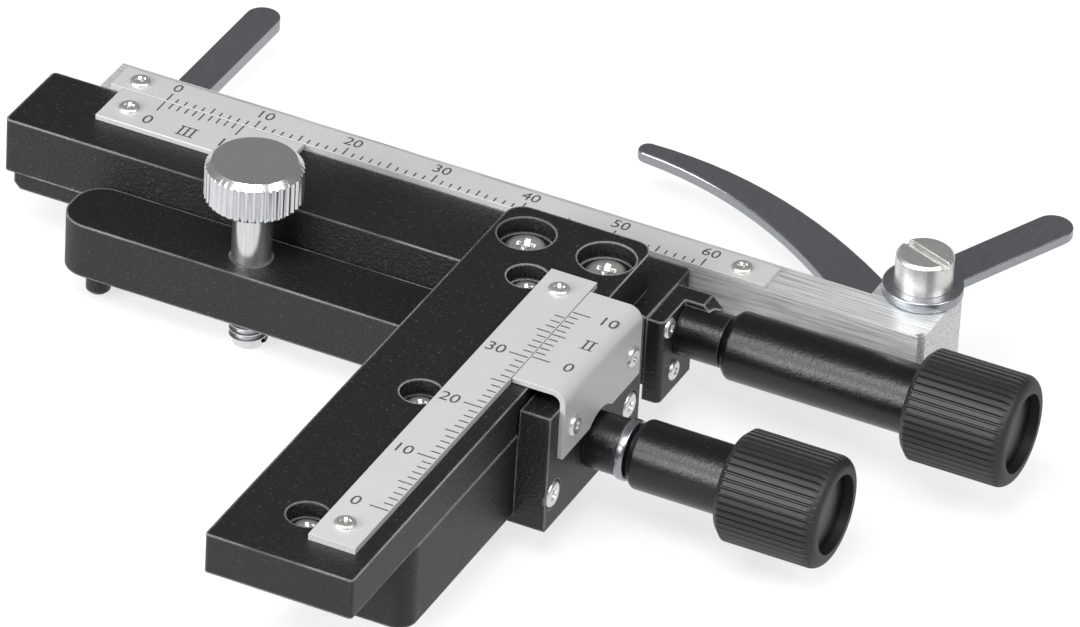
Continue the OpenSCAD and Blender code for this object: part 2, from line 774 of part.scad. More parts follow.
// The bent plate's section across the arm, seen along Y
module vernier_two_section(outer_r) {
    w = vernier_two_x1 - vernier_two_x0;
    difference() {
        translate([0, -vernier_two_drop]) square([w, vernier_two_drop]);
        translate([-over, -vernier_two_drop - over])
            square([w + over - scale_t, vernier_two_drop + over - scale_t]);
        difference() {
            translate([w - outer_r, -outer_r]) square(outer_r + over);
            translate([w - outer_r, -outer_r]) circle(r = outer_r);
        }
    }
    // the inside of the bend, kept one thickness from the outside
    difference() {
        translate([w - outer_r, -outer_r]) square(outer_r - scale_t + eps);
        translate([w - outer_r, -outer_r]) circle(r = outer_r - scale_t);
    }
}

module vernier_two() {
    color("lightgray") difference() {
        translate([vernier_two_x0, vernier_two_y1, vernier_z1]) rotate([90, 0, 0])
            linear_extrude(vernier_two_l) vernier_two_section(vernier_bend_r);
        // arch over the bush
        rod_x(cheek_x1 - eps, vernier_two_x1 + over, y_axis_y, y_axis_z, vernier_arch_r);
        for (p = vernier_two_screws_at)
            rod_x(cheek_x1 - over, vernier_two_x1 + over, p[0], p[1], SMALL[0] + 2 * thread_gap);
    }
}

module vernier_two_screws() {
    color("silver") for (p = vernier_two_screws_at)
        translate([vernier_two_x1, p[0], p[1]]) toward_x()
            screw(SMALL, scale_t + vernier_two_tap_d - tip_gap);
}

// ---- Clamp ----

module clamp_stud() {
    r = clamp_shank_d / 2;
    t = clamp_thread_d / 2;
    color("silver") {
        translate([0, 0, -clamp_proud]) cylinder(r1 = t - thread_chamfer, r2 = t, h = thread_chamfer);
        translate([0, 0, thread_chamfer - clamp_proud]) cylinder(r = t, h = clamp_proud - thread_chamfer);
        translate([0, 0, -over]) cylinder(r = clamp_undercut_d / 2, h = clamp_undercut_l + 2 * over);
        translate([0, 0, clamp_undercut_l])
            cylinder(r = r, h = mount_t + clamp_rise + clamp_head_h - head_cap_t - clamp_undercut_l);
    }
}

module clamp_head() {
    r = clamp_head_d / 2;
    z0 = mount_t + clamp_rise;
    color("silver") translate([0, 0, z0]) difference() {
        intersection() {
            linear_extrude(clamp_head_h) ribbed(r, clamp_flutes, flute_depth);
            // bevels below and above, carried on outside the flutes
            rotate_extrude() polygon([[0, 0], [r - head_low_bevel, 0], [r + over, over + head_low_bevel],
                [r + over, clamp_head_h - head_top_bevel - over], [r - head_top_bevel, clamp_head_h],
                [0, clamp_head_h]]);
        }
        translate([0, 0, -over])
            cylinder(r = clamp_shank_d / 2 + thread_gap, h = clamp_head_h - head_cap_t + over);
    }
}

// ---- Carriage ----

module arm_plate() {
    color("dimgray") difference() {
        rounded_box([arm_x0, arm_y0, arm_z0], [arm_x1, arm_y1, arm_z1],
            [arm_near_r, arm_near_r, arm_corner_r, arm_corner_r]);
        for (x = plate_screw_xs) translate([x, plate_screw_y, 0]) {
            translate([0, 0, arm_z0 - over]) cylinder(r = PLATE[0] + 2 * thread_gap, h = arm_t + 2 * over);
            translate([0, 0, arm_z1 - plate_bore_depth])
                cylinder(r = plate_bore_r, h = plate_bore_depth + over);
        }
        for (y = arm_screw_ys) translate([arm_screw_x, y, 0]) {
            translate([0, 0, arm_z0 - over]) cylinder(r = ARM[0] + 2 * thread_gap, h = arm_t + 2 * over);
            translate([0, 0, arm_z1 - arm_bore_depth]) cylinder(r = arm_bore_r, h = arm_bore_depth + over);
        }
        for (y = y_ruler_screw_ys)
            translate([y_ruler_screw_x, y, arm_z1 - y_ruler_tap_d])
                cylinder(r = SMALL[0] + thread_gap, h = y_ruler_tap_d + over);
    }
}

module plate_screws() {
    color("silver") for (x = plate_screw_xs)
        translate([x, plate_screw_y, arm_z1 - plate_bore_depth])
            screw(PLATE, arm_t - plate_bore_depth + plate_tap_d - tip_gap);
}

module arm_screws() {
    color("silver") for (y = arm_screw_ys)
        translate([arm_screw_x, y, arm_z1 - arm_bore_depth])
            screw(ARM, arm_t - arm_bore_depth + arm_tap_d - tip_gap);
}

module tongue() {
    x = arm_screw_x;
    color("dimgray") difference() {
        union() {
            span([x - tongue_neck_w / 2, tongue_y0, foot_z1 - eps],
                [x + tongue_neck_w / 2, tongue_y1, arm_z0]);
            span([x - tongue_foot_w / 2, tongue_y0, foot_z0], [x + tongue_foot_w / 2, tongue_y1, foot_z1]);
        }
        for (y = arm_screw_ys)
            translate([x, y, arm_z0 - arm_tap_d]) cylinder(r = ARM[0] + thread_gap, h = arm_tap_d + over);
    }
}

// The rack's teeth point down to the pinion
module y_rack() {
    teeth = floor((tongue_y1 - rack_y0) / rack_pitch) - 1;
    first = y_axis_y + (0.5 - floor((y_axis_y - rack_y0) / rack_pitch)) * rack_pitch;
    root_z = rack_z + tooth_out + rack_root_gap;
    drop = root_z - (rack_z - tooth_out);
    color("goldenrod") translate([arm_screw_x - rack_w / 2, 0, 0]) {
        span([0, rack_y0, root_z], [rack_w, tongue_y1 - rack_far, foot_z0]);
        for (i = [0:teeth - 1]) translate([0, first + i * rack_pitch, root_z + eps])
            rotate([90, 0, 90]) linear_extrude(rack_w) polygon([[-rack_pitch * rack_foot_share, 0],
                [-rack_pitch * rack_tip_share, -drop], [rack_pitch * rack_tip_share, -drop],
                [rack_pitch * rack_foot_share, 0]]);
    }
}

module y_ruler() {
    color("lightgray") difference() {
        span([y_ruler_x0, y_ruler_y0, arm_z1], [y_ruler_x1, y_ruler_y1, vernier_z1]);
        for (y = y_ruler_screw_ys)
            translate([y_ruler_screw_x, y, arm_z1 - over])
                cylinder(r = SMALL[0] + 2 * thread_gap, h = 2 * over + scale_t);
    }
}

module y_ruler_screws() {
    color("silver") for (y = y_ruler_screw_ys)
        translate([y_ruler_screw_x, y, vernier_z1])
            screw(SMALL, vernier_z1 - arm_z1 + y_ruler_tap_d - tip_gap);
}

module cross_bar() {
    g = slide_gap;
    color("dimgray") difference() {
        rounded_box([cross_x0, cross_y0, cross_z0], [cross_x1, cross_y1, cross_z1],
            [cross_corner_r, cross_corner_r, cross_corner_r, cross_corner_r]);
        // slot for the rail's foot and web, closed below by the keeper
        span([cross_x0 - over, rail_face_y - g, cross_z0 - over],
            [cross_x1 + over, rail_foot_y1 + g, slot_top]);
        span([cross_x0 - over, rail_foot_y1, cross_z0 - over],
            [cross_x1 + over, cross_y1 + over, x_axis_z + web_w / 2 + g]);
        // chamber for the helical pinion and the long bore for its shaft
        span([helix_x0 - pinion_play, x_axis_y - helix_r - cavity_gap, cross_z0 - over],
            [helix_x1 + pinion_play, rail_face_y, x_axis_z + helix_r + cavity_gap]);
        rod_x(helix_x0, cross_x1 + over, x_axis_y, x_axis_z, shaft_d / 2 + 2 * shaft_gap);
        rod_x(helix_x0 - pinion_play - stub_l, helix_x0, x_axis_y, x_axis_z, stub_r + shaft_gap);
        for (x = plate_screw_xs)
            translate([x, plate_screw_y, cross_z1 - plate_tap_d])
                cylinder(r = PLATE[0] + thread_gap, h = plate_tap_d + over);
        // the vernier's tapped holes go through to the slot
        for (x = vernier_three_screw_xs) translate([x, vernier_three_screw_y, slot_top - eps])
            cylinder(r = SMALL[0] + thread_gap, h = cross_z1 - slot_top + over);
        for (x = keeper_screw_xs) translate([x, keeper_screw_y, cross_z0 - over])
            cylinder(r = KEEPER[0] + thread_gap, h = keeper_tap_d + over);
        bearing_screw_hole(bearing_screws_at[0]);
    }
}

// The keeper closes the slot from below, and its lip holds the rail's foot
module keeper() {
    color("dimgray") difference() {
        union() {
            span([keeper_x0, cross_y0 + keeper_back, keeper_z0], [cross_x1, cross_y1, cross_z0]);
            span([keeper_x0, rail_foot_y1 + slide_gap, keeper_z0], [cross_x1, cross_y1, lip_z1]);
        }
        for (x = keeper_screw_xs)
            translate([x, keeper_screw_y, keeper_z0]) rotate([180, 0, 0])
                flat_screw_hole(KEEPER, keeper_t + over);
        bearing_screw_hole(bearing_screws_at[1]);
        // bevel under the left end
        translate([keeper_x0, cross_y0, keeper_z0]) rotate([0, 45, 0])
            translate([-keeper_bevel, -over, -keeper_bevel])
                cube([2 * keeper_bevel, cross_w + 2 * over, 2 * keeper_bevel]);
    }
}

module keeper_screws() {
    color("silver") for (x = keeper_screw_xs)
        translate([x, keeper_screw_y, keeper_z0]) rotate([180, 0, 0])
            flat_screw(KEEPER, keeper_t + keeper_tap_d - tip_gap);
}

module vernier_three() {
    color("lightgray") difference() {
        span([vernier_three_x0, vernier_three_y0, cross_z1],
            [vernier_three_x1, vernier_three_y1, cross_z1 + scale_t]);
        for (x = vernier_three_screw_xs) translate([x, vernier_three_screw_y, cross_z1 - over])
            cylinder(r = SMALL[0] + 2 * thread_gap, h = 2 * over + scale_t);
    }
}

module vernier_three_screws() {
    color("silver") for (x = vernier_three_screw_xs)
        translate([x, vernier_three_screw_y, cross_z1 + scale_t])
            screw(SMALL, scale_t + cross_z1 - slot_top - slide_gap / 2);
}

module bearing_screw_hole(p) {
    rod_x(cross_x1 - bearing_tap_d, cross_x1 + over, p[0], p[1], BEARING[0] + thread_gap);
}

module bearing_plate() {
    lug_x1 = bearing_x1 + bearing_lug_l;
    back = cross_y0 + bearing_w;
    color("dimgray") difference() {
        union() {
            rounded_box([cross_x1, cross_y0, bearing_z0], [bearing_x1, back, bearing_z1],
                [0, bearing_corner_r, 0, 0]);
            // lug behind and above the bush
            span([cross_x1, cross_y0 + bearing_lug_back, x_axis_z], [lug_x1, back, bearing_z1]);
        }
        rod_x(bearing_x1, lug_x1 + over, x_axis_y, x_axis_z, x_bush_r + thread_gap);
        translate([lug_x1, cross_y0, bearing_z1]) rotate([0, 45, 0])
            translate([-bearing_lug_bevel, -over, -bearing_lug_bevel / sqrt(2)])
                cube([2 * bearing_lug_bevel, bearing_w + 2 * over, 2 * bearing_lug_bevel]);
        rod_x(cross_x1 - over, bearing_x1 + over, x_axis_y, x_axis_z, x_bush_spigot_r + thread_gap);
        for (p = bearing_screws_at)
            rod_x(cross_x1 - over, bearing_x1 + over, p[0], p[1], BEARING[0] + 2 * thread_gap);
    }
}

module bearing_screws() {
    color("silver") for (p = bearing_screws_at)
        translate([bearing_x1, p[0], p[1]]) toward_x() screw(BEARING, bearing_t + bearing_tap_d - tip_gap);
}

module x_bush() {
    color("dimgray") difference() {
        union() {
            rod_x(bearing_x1, x_bush_x1, x_axis_y, x_axis_z, x_bush_r);
            rod_x(cross_x1 + eps, bearing_x1 + eps, x_axis_y, x_axis_z, x_bush_spigot_r);
        }
        rod_x(cross_x1 - over, x_bush_x1 + over, x_axis_y, x_axis_z, shaft_d / 2 + shaft_gap);
    }
}

// ---- Slide holder ----

module slide_bar() {
    color("silver") difference() {
        union() {
            span([slide_x0, slide_y0, slide_z0], [slide_x1, slide_y1, slide_z1]);
            rounded_box([block_x0, slide_y0, slide_z0], [slide_x1, block_y1, slide_z1],
                [0, 0, block_corner_r, block_corner_r]);
        }
        for (x = rail_screw_xs) translate([x, slide_y1, x_axis_z]) rotate([-90, 0, 0])
            flat_screw_hole(RAIL, slide_w + over);
        for (x = x_ruler_screw_xs) translate([x, x_ruler_screw_y, slide_z1 - x_ruler_tap_d])
            cylinder(r = SMALL[0] + thread_gap, h = x_ruler_tap_d + over);
        for (x = finger_screw_xs) translate([x, finger_screw_y, slide_z0 - over])
            cylinder(r = RAIL[0] + thread_gap, h = finger_tap_d + over);
        // bore for the pivot pin, and the pocket that holds the spring
        translate([pivot_x, pivot_y, slide_z0 - over])
            cylinder(r = pivot_d / 2 + shaft_gap, h = slide_h + 2 * over);
        translate([pivot_x, pivot_y, slide_z1 - spring_pocket_d])
            cylinder(r = spring_pocket_r, h = spring_pocket_d + over);
        // bevel on the right end's front corner
        translate([slide_x1, slide_y0, slide_z0 - over]) rotate(45)
            translate([-end_bevel, -over, 0]) cube([2 * end_bevel, 2 * over, slide_h + 2 * over]);
    }
}

// The rail slides in the cross bar's slot; slanted grooves in its foot take the helical pinion
module slide_rail() {
    grooves = floor((rail_x1 - rail_x0) / helix_pitch) + 2;
    middle = (helix_x0 + helix_x1) / 2;
    slant = atan(groove_slope);
    width = helix_pitch * groove_share * cos(slant);
    color("silver") difference() {
        union() {
            span([rail_x0, rail_face_y, rail_foot_z0], [rail_x1, rail_foot_y1, rail_foot_z1]);
            span([rail_x0, rail_foot_y1 - eps, x_axis_z - web_w / 2],
                [rail_x1, slide_y0, x_axis_z + web_w / 2]);
        }
        for (i = [-1:grooves])
            translate([middle + i * helix_pitch, rail_face_y, x_axis_z]) rotate([0, -slant, 0])
                translate([-width / 2, -over, -foot_h * groove_over])
                    cube([width, over + groove_depth, 2 * foot_h * groove_over]);
        for (x = rail_screw_xs) translate([x, slide_y0 + over, x_axis_z]) rotate([90, 0, 0])
            cylinder(r = RAIL[0] + thread_gap, h = rail_tap_d + over);
    }
}

module rail_screws() {
    color("silver") for (x = rail_screw_xs)
        translate([x, slide_y1, x_axis_z]) rotate([-90, 0, 0])
            flat_screw(RAIL, slide_w + rail_tap_d - tip_gap);
}

module x_ruler() {
    color("lightgray") difference() {
        span([x_ruler_x0, slide_y0, slide_z1], [x_ruler_x1, slide_y0 + x_ruler_w, slide_z1 + x_ruler_t]);
        for (x = x_ruler_screw_xs) translate([x, x_ruler_screw_y, slide_z1 - over])
            cylinder(r = SMALL[0] + 2 * thread_gap, h = 2 * over + scale_t);
    }
}

module x_ruler_screws() {
    color("silver") for (x = x_ruler_screw_xs)
        translate([x, x_ruler_screw_y, slide_z1 + x_ruler_t])
            screw(SMALL, x_ruler_t + x_ruler_tap_d - tip_gap);
}

module fixed_finger() {
    r = finger_w / 2;
    color("gray") difference() {
        union() {
            span([finger_x0, finger_y0, finger_z0], [finger_x1, finger_y1 - r, slide_z0]);
            translate([finger_x0 + r, finger_y1 - r, finger_z0]) cylinder(r = r, h = finger_t);
            // foot along the bar: its back edge stops the slide's front edge
            span([finger_x0, finger_y0, finger_z0], [finger_x0 + finger_foot_l, slide_y1, slide_z0]);
        }
        for (x = finger_screw_xs) translate([x, finger_screw_y, finger_z0]) rotate([180, 0, 0])
            flat_screw_hole(RAIL, finger_t + over);
    }
}

module finger_screws() {
    color("silver") for (x = finger_screw_xs)
        translate([x, finger_screw_y, finger_z0]) rotate([180, 0, 0])
            flat_screw(RAIL, finger_t + finger_tap_d - tip_gap);
}

// ---- Clip ----

// The lever on top, held down by the pin's head
module clip_lever() {
    color("gray") translate([pivot_x, pivot_y, clip_z0]) difference() {
        union() {
            cylinder(r = hub_r, h = clip_t);
            rotate(lever_angle) {
                span([0, -lever_w / 2, 0], [lever_l, lever_w / 2, clip_t]);
                translate([lever_l, 0, 0]) cylinder(r = lever_w / 2, h = clip_t);
            }
        }
        translate([0, 0, -over]) cylinder(r = pivot_d / 2 + thread_gap, h = clip_t + 2 * over);
    }
}

// Middle line of the curved finger, from the pivot to the tip, as one smooth bend
function bend(t) = 2 * t * (1 - t) * [-clip_reach * bend_pull[0], clip_out * bend_pull[1]]
    + t * t * [-clip_reach, clip_out];
function bend_side(t) =
    let (d = bend(t + bend_probe) - bend(t - bend_probe))
    [-d[1], d[0]] / norm(d);
// Half width, tapering evenly to the tip
function bend_half(t) = clip_w / 2 * (bend_root - t);

// The curved finger below the block, fixed to the pin's lower end
module clip_finger() {
    h = finger_t - slide_gap;
    color("gray") translate([pivot_x, pivot_y, finger_z0]) difference() {
        union() {
            cylinder(r = hub_r, h = h);
            translate([-clip_reach, clip_out, 0]) cylinder(r = bend_half(1), h = h);
            linear_extrude(h) polygon(concat(
                [for (i = [0:bend_steps]) let (t = i / bend_steps) bend(t) + bend_half(t) * bend_side(t)],
                [for (i = [bend_steps:-1:0]) let (t = i / bend_steps) bend(t) - bend_half(t) * bend_side(t)]
            ));
        }
        translate([0, 0, -over]) cylinder(r = pivot_d / 2 + thread_gap, h = h + 2 * over);
    }
}

module pivot_pin() {
    r = pivot_head_d / 2;
    top = clip_z1 + pivot_head_h;
    color("silver") translate([pivot_x, pivot_y, 0]) difference() {
        union() {
            translate([0, 0, clip_z1]) cylinder(r = r, h = pivot_head_h - pivot_edge);
            translate([0, 0, top - pivot_edge]) cylinder(r1 = r, r2 = r - pivot_edge, h = pivot_edge);
            translate([0, 0, finger_z0]) cylinder(r = pivot_d / 2, h = clip_z1 - finger_z0 + eps);
        }
        rotate(pivot_slot_turn) translate([-r - over, -pivot_slot_w / 2, top - pivot_slot_d])
            cube([2 * r + 2 * over, pivot_slot_w, pivot_slot_d + over]);
    }
}

// The coil spring in the block's pocket, swept along a helix
module clip_spring() {
    sides = spring_sides;
    rings = spring_turns * spring_per_turn;
    rise = (spring_pocket_d - 2 * spring_end_gap) / rings;
    points = [for (i = [0:rings]) let (a = i * deg_per_turn / spring_per_turn)
        for (j = [0:sides - 1]) let (b = j * deg_per_turn / sides, r = spring_r + spring_wire_r * cos(b))
            [r * cos(a), r * sin(a), i * rise + spring_wire_r * sin(b)]];
    faces = concat(
        [[for (j = [0:sides - 1]) j]],
        [for (i = [0:rings - 1]) for (j = [0:sides - 1]) let (k = (j + 1) % sides)
            each [[i * sides + j, (i + 1) * sides + j, (i + 1) * sides + k],
                [i * sides + j, (i + 1) * sides + k, i * sides + k]]],
        [[for (j = [sides - 1:-1:0]) rings * sides + j]]);
    color("silver") translate([pivot_x, pivot_y, slide_z1 - spring_pocket_d + spring_end_gap])
        polyhedron(points, faces);
}

// ---- Drives ----

module y_shaft() {
    color("silver") {
        rod_x(pinion_x0 - stub_l + stub_gap, pinion_x0, y_axis_y, y_axis_z, stub_r);
        rod_x(pinion_x0 - over, y_knob_x1 - knob_recess_d - shaft_short, y_axis_y, y_axis_z, y_core_r);
        rod_x(pinion_x1, y_knob_x1 - knob_recess_d - shaft_short, y_axis_y, y_axis_z, shaft_d / 2);
    }
}

// Eight straight teeth, one pointing up at rest
module y_pinion() {
    step = deg_per_turn / gear_teeth;
    root = pitch_r - gear_module * tooth_in_share;
    outer = pitch_r + tooth_out;
    color("goldenrod") translate([pinion_x0, y_axis_y, y_axis_z]) toward_x() difference() {
        linear_extrude(pinion_x1 - pinion_x0)
            polygon([for (i = [0:gear_teeth - 1]) let (a = 180 + i * step) each [
            root * [cos(a - tooth_angles[0]), sin(a - tooth_angles[0])],
            pitch_r * [cos(a - tooth_angles[1]), sin(a - tooth_angles[1])],
            outer * [cos(a - tooth_angles[2]), sin(a - tooth_angles[2])],
            outer * [cos(a + tooth_angles[2]), sin(a + tooth_angles[2])],
            pitch_r * [cos(a + tooth_angles[1]), sin(a + tooth_angles[1])],
            root * [cos(a + tooth_angles[0]), sin(a + tooth_angles[0])]
        ]]);
        translate([0, 0, -over]) cylinder(r = y_core_r + thread_gap, h = pinion_x1 - pinion_x0 + 2 * over);
    }
}

module y_sleeve() {
    color("dimgray") translate([y_sleeve_x0, y_axis_y, y_axis_z]) toward_x() sleeve(y_sleeve_l);
}

module y_knob() {
    color("dimgray") translate([y_sleeve_x1, y_axis_y, y_axis_z]) toward_x() knob(y_knob_l);
}

module y_knob_cap() {
    color("dimgray") rod_x(y_knob_x1 - knob_recess_d, y_knob_x1 - knob_recess_d + knob_cap_t,
        y_axis_y, y_axis_z, knob_recess_r - knob_cap_gap);
}

module x_shaft() {
    color("silver") {
        rod_x(helix_x0 - stub_l + stub_gap, helix_x0 + eps, x_axis_y, x_axis_z, stub_r);
        rod_x(helix_x0, x_knob_x1 - knob_recess_d - shaft_short, x_axis_y, x_axis_z, shaft_d / 2);
    }
}

// Steep threads, one facing the rail in the middle of the pinion's length
module x_pinion() {
    step = deg_per_turn / helix_starts;
    twist = helix_l * deg_per_turn / helix_lead;
    foot_angle = helix_foot_share * helix_half_angle;
    color("goldenrod") translate([helix_x0, x_axis_y, x_axis_z]) toward_x() difference() {
        linear_extrude(helix_l, twist = twist, slices = helix_slices) polygon([for (i = [0:helix_starts - 1])
            let (a = 90 + twist / 2 + i * step) each [
                helix_core_r * [cos(a - step / 2), sin(a - step / 2)],
                helix_core_r * [cos(a - foot_angle), sin(a - foot_angle)],
                helix_r * [cos(a - helix_half_angle / 2), sin(a - helix_half_angle / 2)],
                helix_r * [cos(a + helix_half_angle / 2), sin(a + helix_half_angle / 2)],
                helix_core_r * [cos(a + foot_angle), sin(a + foot_angle)]
        ]]);
        translate([0, 0, -over]) cylinder(r = shaft_d / 2 + 2 * thread_gap, h = helix_l + 2 * over);
    }
}

module x_sleeve() {
    color("dimgray") translate([x_sleeve_x0, x_axis_y, x_axis_z]) toward_x() sleeve(x_sleeve_l);
}

module x_knob() {
    color("dimgray") translate([x_sleeve_x1, x_axis_y, x_axis_z]) toward_x() knob(x_knob_l);
}

module x_knob_cap() {
    color("dimgray") rod_x(x_knob_x1 - knob_recess_d, x_knob_x1 - knob_recess_d + knob_cap_t,
        x_axis_y, x_axis_z, knob_recess_r - knob_cap_gap);
}

mounting_bar();
locating_pins();
guide_block();
tenon_screws();
side_bracket();
bracket_screws();
y_bush();
y_washer();
vernier_two();
vernier_two_screws();
clamp_stud();
clamp_head();
arm_plate();
plate_screws();
arm_screws();
tongue();
y_rack();
y_ruler();
y_ruler_screws();
cross_bar();
keeper();
keeper_screws();
vernier_three();
vernier_three_screws();
bearing_plate();
bearing_screws();
x_bush();
slide_bar();
slide_rail();
rail_screws();
x_ruler();
x_ruler_screws();
fixed_finger();
finger_screws();
clip_lever();
clip_finger();
pivot_pin();
clip_spring();
y_shaft();
y_pinion();
y_sleeve();
y_knob();
y_knob_cap();
x_shaft();
x_pinion();
x_sleeve();
x_knob();
x_knob_cap();
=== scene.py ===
"""Studio scene of an attachable mechanical stage: clamp bar, arm, cross bar, knobs and slide fingers.

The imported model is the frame. Each class below dresses one sub-assembly: it rounds the edges of
the machined pieces, adds what the solids leave out (printed scales, the clamp's thread, the cross
recesses of the screws) and gives every piece its finish.
"""

from __future__ import annotations

import json
import logging
import math
from collections.abc import Iterator
from contextlib import contextmanager
from dataclasses import dataclass
from enum import Enum
from functools import cache

import bmesh
import bpy
from mathutils import Matrix, Vector

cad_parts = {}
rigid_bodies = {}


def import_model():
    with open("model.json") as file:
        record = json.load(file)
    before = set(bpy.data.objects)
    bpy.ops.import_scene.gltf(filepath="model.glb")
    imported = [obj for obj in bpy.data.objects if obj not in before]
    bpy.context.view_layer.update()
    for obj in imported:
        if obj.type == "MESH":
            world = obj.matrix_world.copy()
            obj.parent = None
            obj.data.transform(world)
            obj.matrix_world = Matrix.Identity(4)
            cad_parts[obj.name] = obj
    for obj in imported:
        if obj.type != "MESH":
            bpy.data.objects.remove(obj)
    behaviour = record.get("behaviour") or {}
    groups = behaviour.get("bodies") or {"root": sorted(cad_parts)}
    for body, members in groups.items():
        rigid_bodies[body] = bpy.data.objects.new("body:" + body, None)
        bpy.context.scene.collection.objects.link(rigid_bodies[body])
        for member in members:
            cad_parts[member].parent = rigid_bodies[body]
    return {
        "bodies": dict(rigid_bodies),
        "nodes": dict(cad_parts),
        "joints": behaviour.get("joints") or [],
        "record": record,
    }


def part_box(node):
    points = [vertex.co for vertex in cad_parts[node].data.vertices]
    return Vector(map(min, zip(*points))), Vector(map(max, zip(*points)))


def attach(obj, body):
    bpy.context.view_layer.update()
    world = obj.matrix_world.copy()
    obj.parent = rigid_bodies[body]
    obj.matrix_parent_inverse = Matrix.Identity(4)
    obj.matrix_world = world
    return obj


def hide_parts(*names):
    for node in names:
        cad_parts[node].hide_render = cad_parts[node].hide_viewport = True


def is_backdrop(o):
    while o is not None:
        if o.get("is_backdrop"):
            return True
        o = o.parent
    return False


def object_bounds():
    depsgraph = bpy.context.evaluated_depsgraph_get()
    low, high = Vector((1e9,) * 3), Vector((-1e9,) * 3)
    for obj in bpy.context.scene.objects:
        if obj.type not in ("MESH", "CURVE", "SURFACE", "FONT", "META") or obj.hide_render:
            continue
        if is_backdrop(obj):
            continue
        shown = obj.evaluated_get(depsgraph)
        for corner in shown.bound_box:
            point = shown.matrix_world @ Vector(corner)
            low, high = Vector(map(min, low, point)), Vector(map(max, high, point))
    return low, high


LOG = logging.getLogger("stage")
MM = 0.001

# points of a solid's mesh that lie closer than this are one point
MERGE = 0.002 * MM
# faces that meet at less than this are one flat face
FLAT_DEG = 1.0
# edges sharper than this are rounded, and stay sharp in the shading
EDGE_DEG = 32
SMOOTH_DEG = 35

# the least roughness of any finish
MIRROR = 0.02

WHITE = (1, 1, 1, 1)

RIGHT, AWAY, UP = (Vector(axis) for axis in ((1, 0, 0), (0, 1, 0), (0, 0, 1)))

Point = tuple[float, float, float]
Colour = tuple[float, float, float, float]
Bounds = tuple[Vector, Vector]


class Body(str, Enum):
    """The moving bodies that pieces ride on."""

    BASE = "base"
    CLAMP = "clamp"
    CARRIAGE = "carriage"
    HOLDER = "slide_holder"
    CLIP = "clip"
    NEAR_KNOB = "y_knob"
    FAR_KNOB = "x_knob"


class Slot(str, Enum):
    """The record's material slots."""

    ENAMEL = "black_enamel"
    KNOB = "knob_plastic"
    NICKEL = "bright_nickel"
    PLATE = "scale_plate"
    BAR = "satin_bar"
    STEEL = "dark_steel"
    BRASS = "gear_brass"


# ---- Small helpers ----


def channel(value: float) -> float:
    """Turns one sRGB channel from 0 to 1 into linear light.

    Args:
        value: The sRGB channel.

    Returns:
        The linear channel.
    """
    if value <= 0.04045:
        return value / 12.92
    return ((value + 0.055) / 1.055) ** 2.4


def linear(code: str) -> Colour:
    """Turns a colour such as "#2a2b2d" into a linear RGBA colour.

    Args:
        code: The colour as six hex digits after a hash.

    Returns:
        Linear red, green, blue and an alpha of 1.
    """
    parts = [int(code[i : i + 2], 16) / 255 for i in (1, 3, 5)]
    red, green, blue = (channel(part) for part in parts)
    return (red, green, blue, 1.0)


def add_node(
    tree: bpy.types.NodeTree,
    kind: str,
    settings: dict[str, object] | None = None,
    values: dict[str, object] | None = None,
    links: dict[str, bpy.types.NodeSocket] | None = None,
) -> bpy.types.Node:
    """Adds one node to a tree.

    Args:
        tree: The node tree.
        kind: The node's type name.
        settings: Properties to set on the node.
        values: Input sockets to set, by name or number as text.
        links: Input sockets to link, by name or number as text, with the output to link from.

    Returns:
        The new node.
    """
    node = tree.nodes.new(kind)
    for name, value in (settings or {}).items():
        setattr(node, name, value)
    for name, given in {**(values or {}), **(links or {})}.items():
        socket = node.inputs[int(name)] if name.isdigit() else node.inputs[name]
        if isinstance(given, bpy.types.NodeSocket):
            tree.links.new(given, socket)
        else:
            socket.default_value = given
    return node


def deselect() -> None:
    """Leaves nothing selected."""
    bpy.ops.object.select_all(action="DESELECT")


def choose(piece: bpy.types.Object) -> None:
    """Selects one object alone and makes it active.

    Args:
        piece: The object.
    """
    deselect()
    piece.select_set(True)
    bpy.context.view_layer.objects.active = piece


@contextmanager
def editing(piece: bpy.types.Object) -> Iterator[None]:
    """Opens an object's mesh with all of it selected, and closes it again.

    Args:
        piece: The object.
    """
    choose(piece)
    bpy.ops.object.mode_set(mode="EDIT")
    bpy.ops.mesh.select_all(action="SELECT")
    yield
    bpy.ops.object.mode_set(mode="OBJECT")


def settle(piece: bpy.types.Object) -> None:
    """Applies an object's place, turn and scale to its mesh.

    Args:
        piece: The object.
    """
    choose(piece)
    bpy.ops.object.transform_apply(location=True, rotation=True, scale=True)


def apply_all(piece: bpy.types.Object) -> None:
    """Applies every modifier of an object.

    Args:
        piece: The object.
    """
    choose(piece)
    for modifier in list(piece.modifiers):
        bpy.ops.object.modifier_apply(modifier=modifier.name)


def join(pieces: list[bpy.types.Object], name: str) -> bpy.types.Object:
    """Joins objects into one.

    Args:
        pieces: The objects, of which the first keeps its data.
        name: The joined object's name.

    Returns:
        The joined object.
    """
    deselect()
    for piece in pieces:
        piece.select_set(True)
    bpy.context.view_layer.objects.active = pieces[0]
    if len(pieces) > 1:
        bpy.ops.object.join()
    pieces[0].name = name
    return pieces[0]


def smooth(piece: bpy.types.Object, degrees: float = 30.0) -> None:
    """Shades an object smooth, with its sharper edges kept.

    Args:
        piece: The object.
        degrees: The angle past which an edge stays sharp.
    """
    choose(piece)
    bpy.ops.object.shade_smooth_by_angle(angle=math.radians(degrees))


def round_edges(piece: bpy.types.Object, width: float, segments: int, degrees: float) -> None:
    """Rounds the edges of an object that are sharper than an angle.

    Args:
        piece: The object.
        width: Width of the rounding in metres.
        segments: Steps across it.
        degrees: The angle.
    """
    bevel = piece.modifiers.new("edges", "BEVEL")
    bevel.width = width
    bevel.segments = segments
    bevel.limit_method = "ANGLE"
    bevel.angle_limit = math.radians(degrees)
    apply_all(piece)


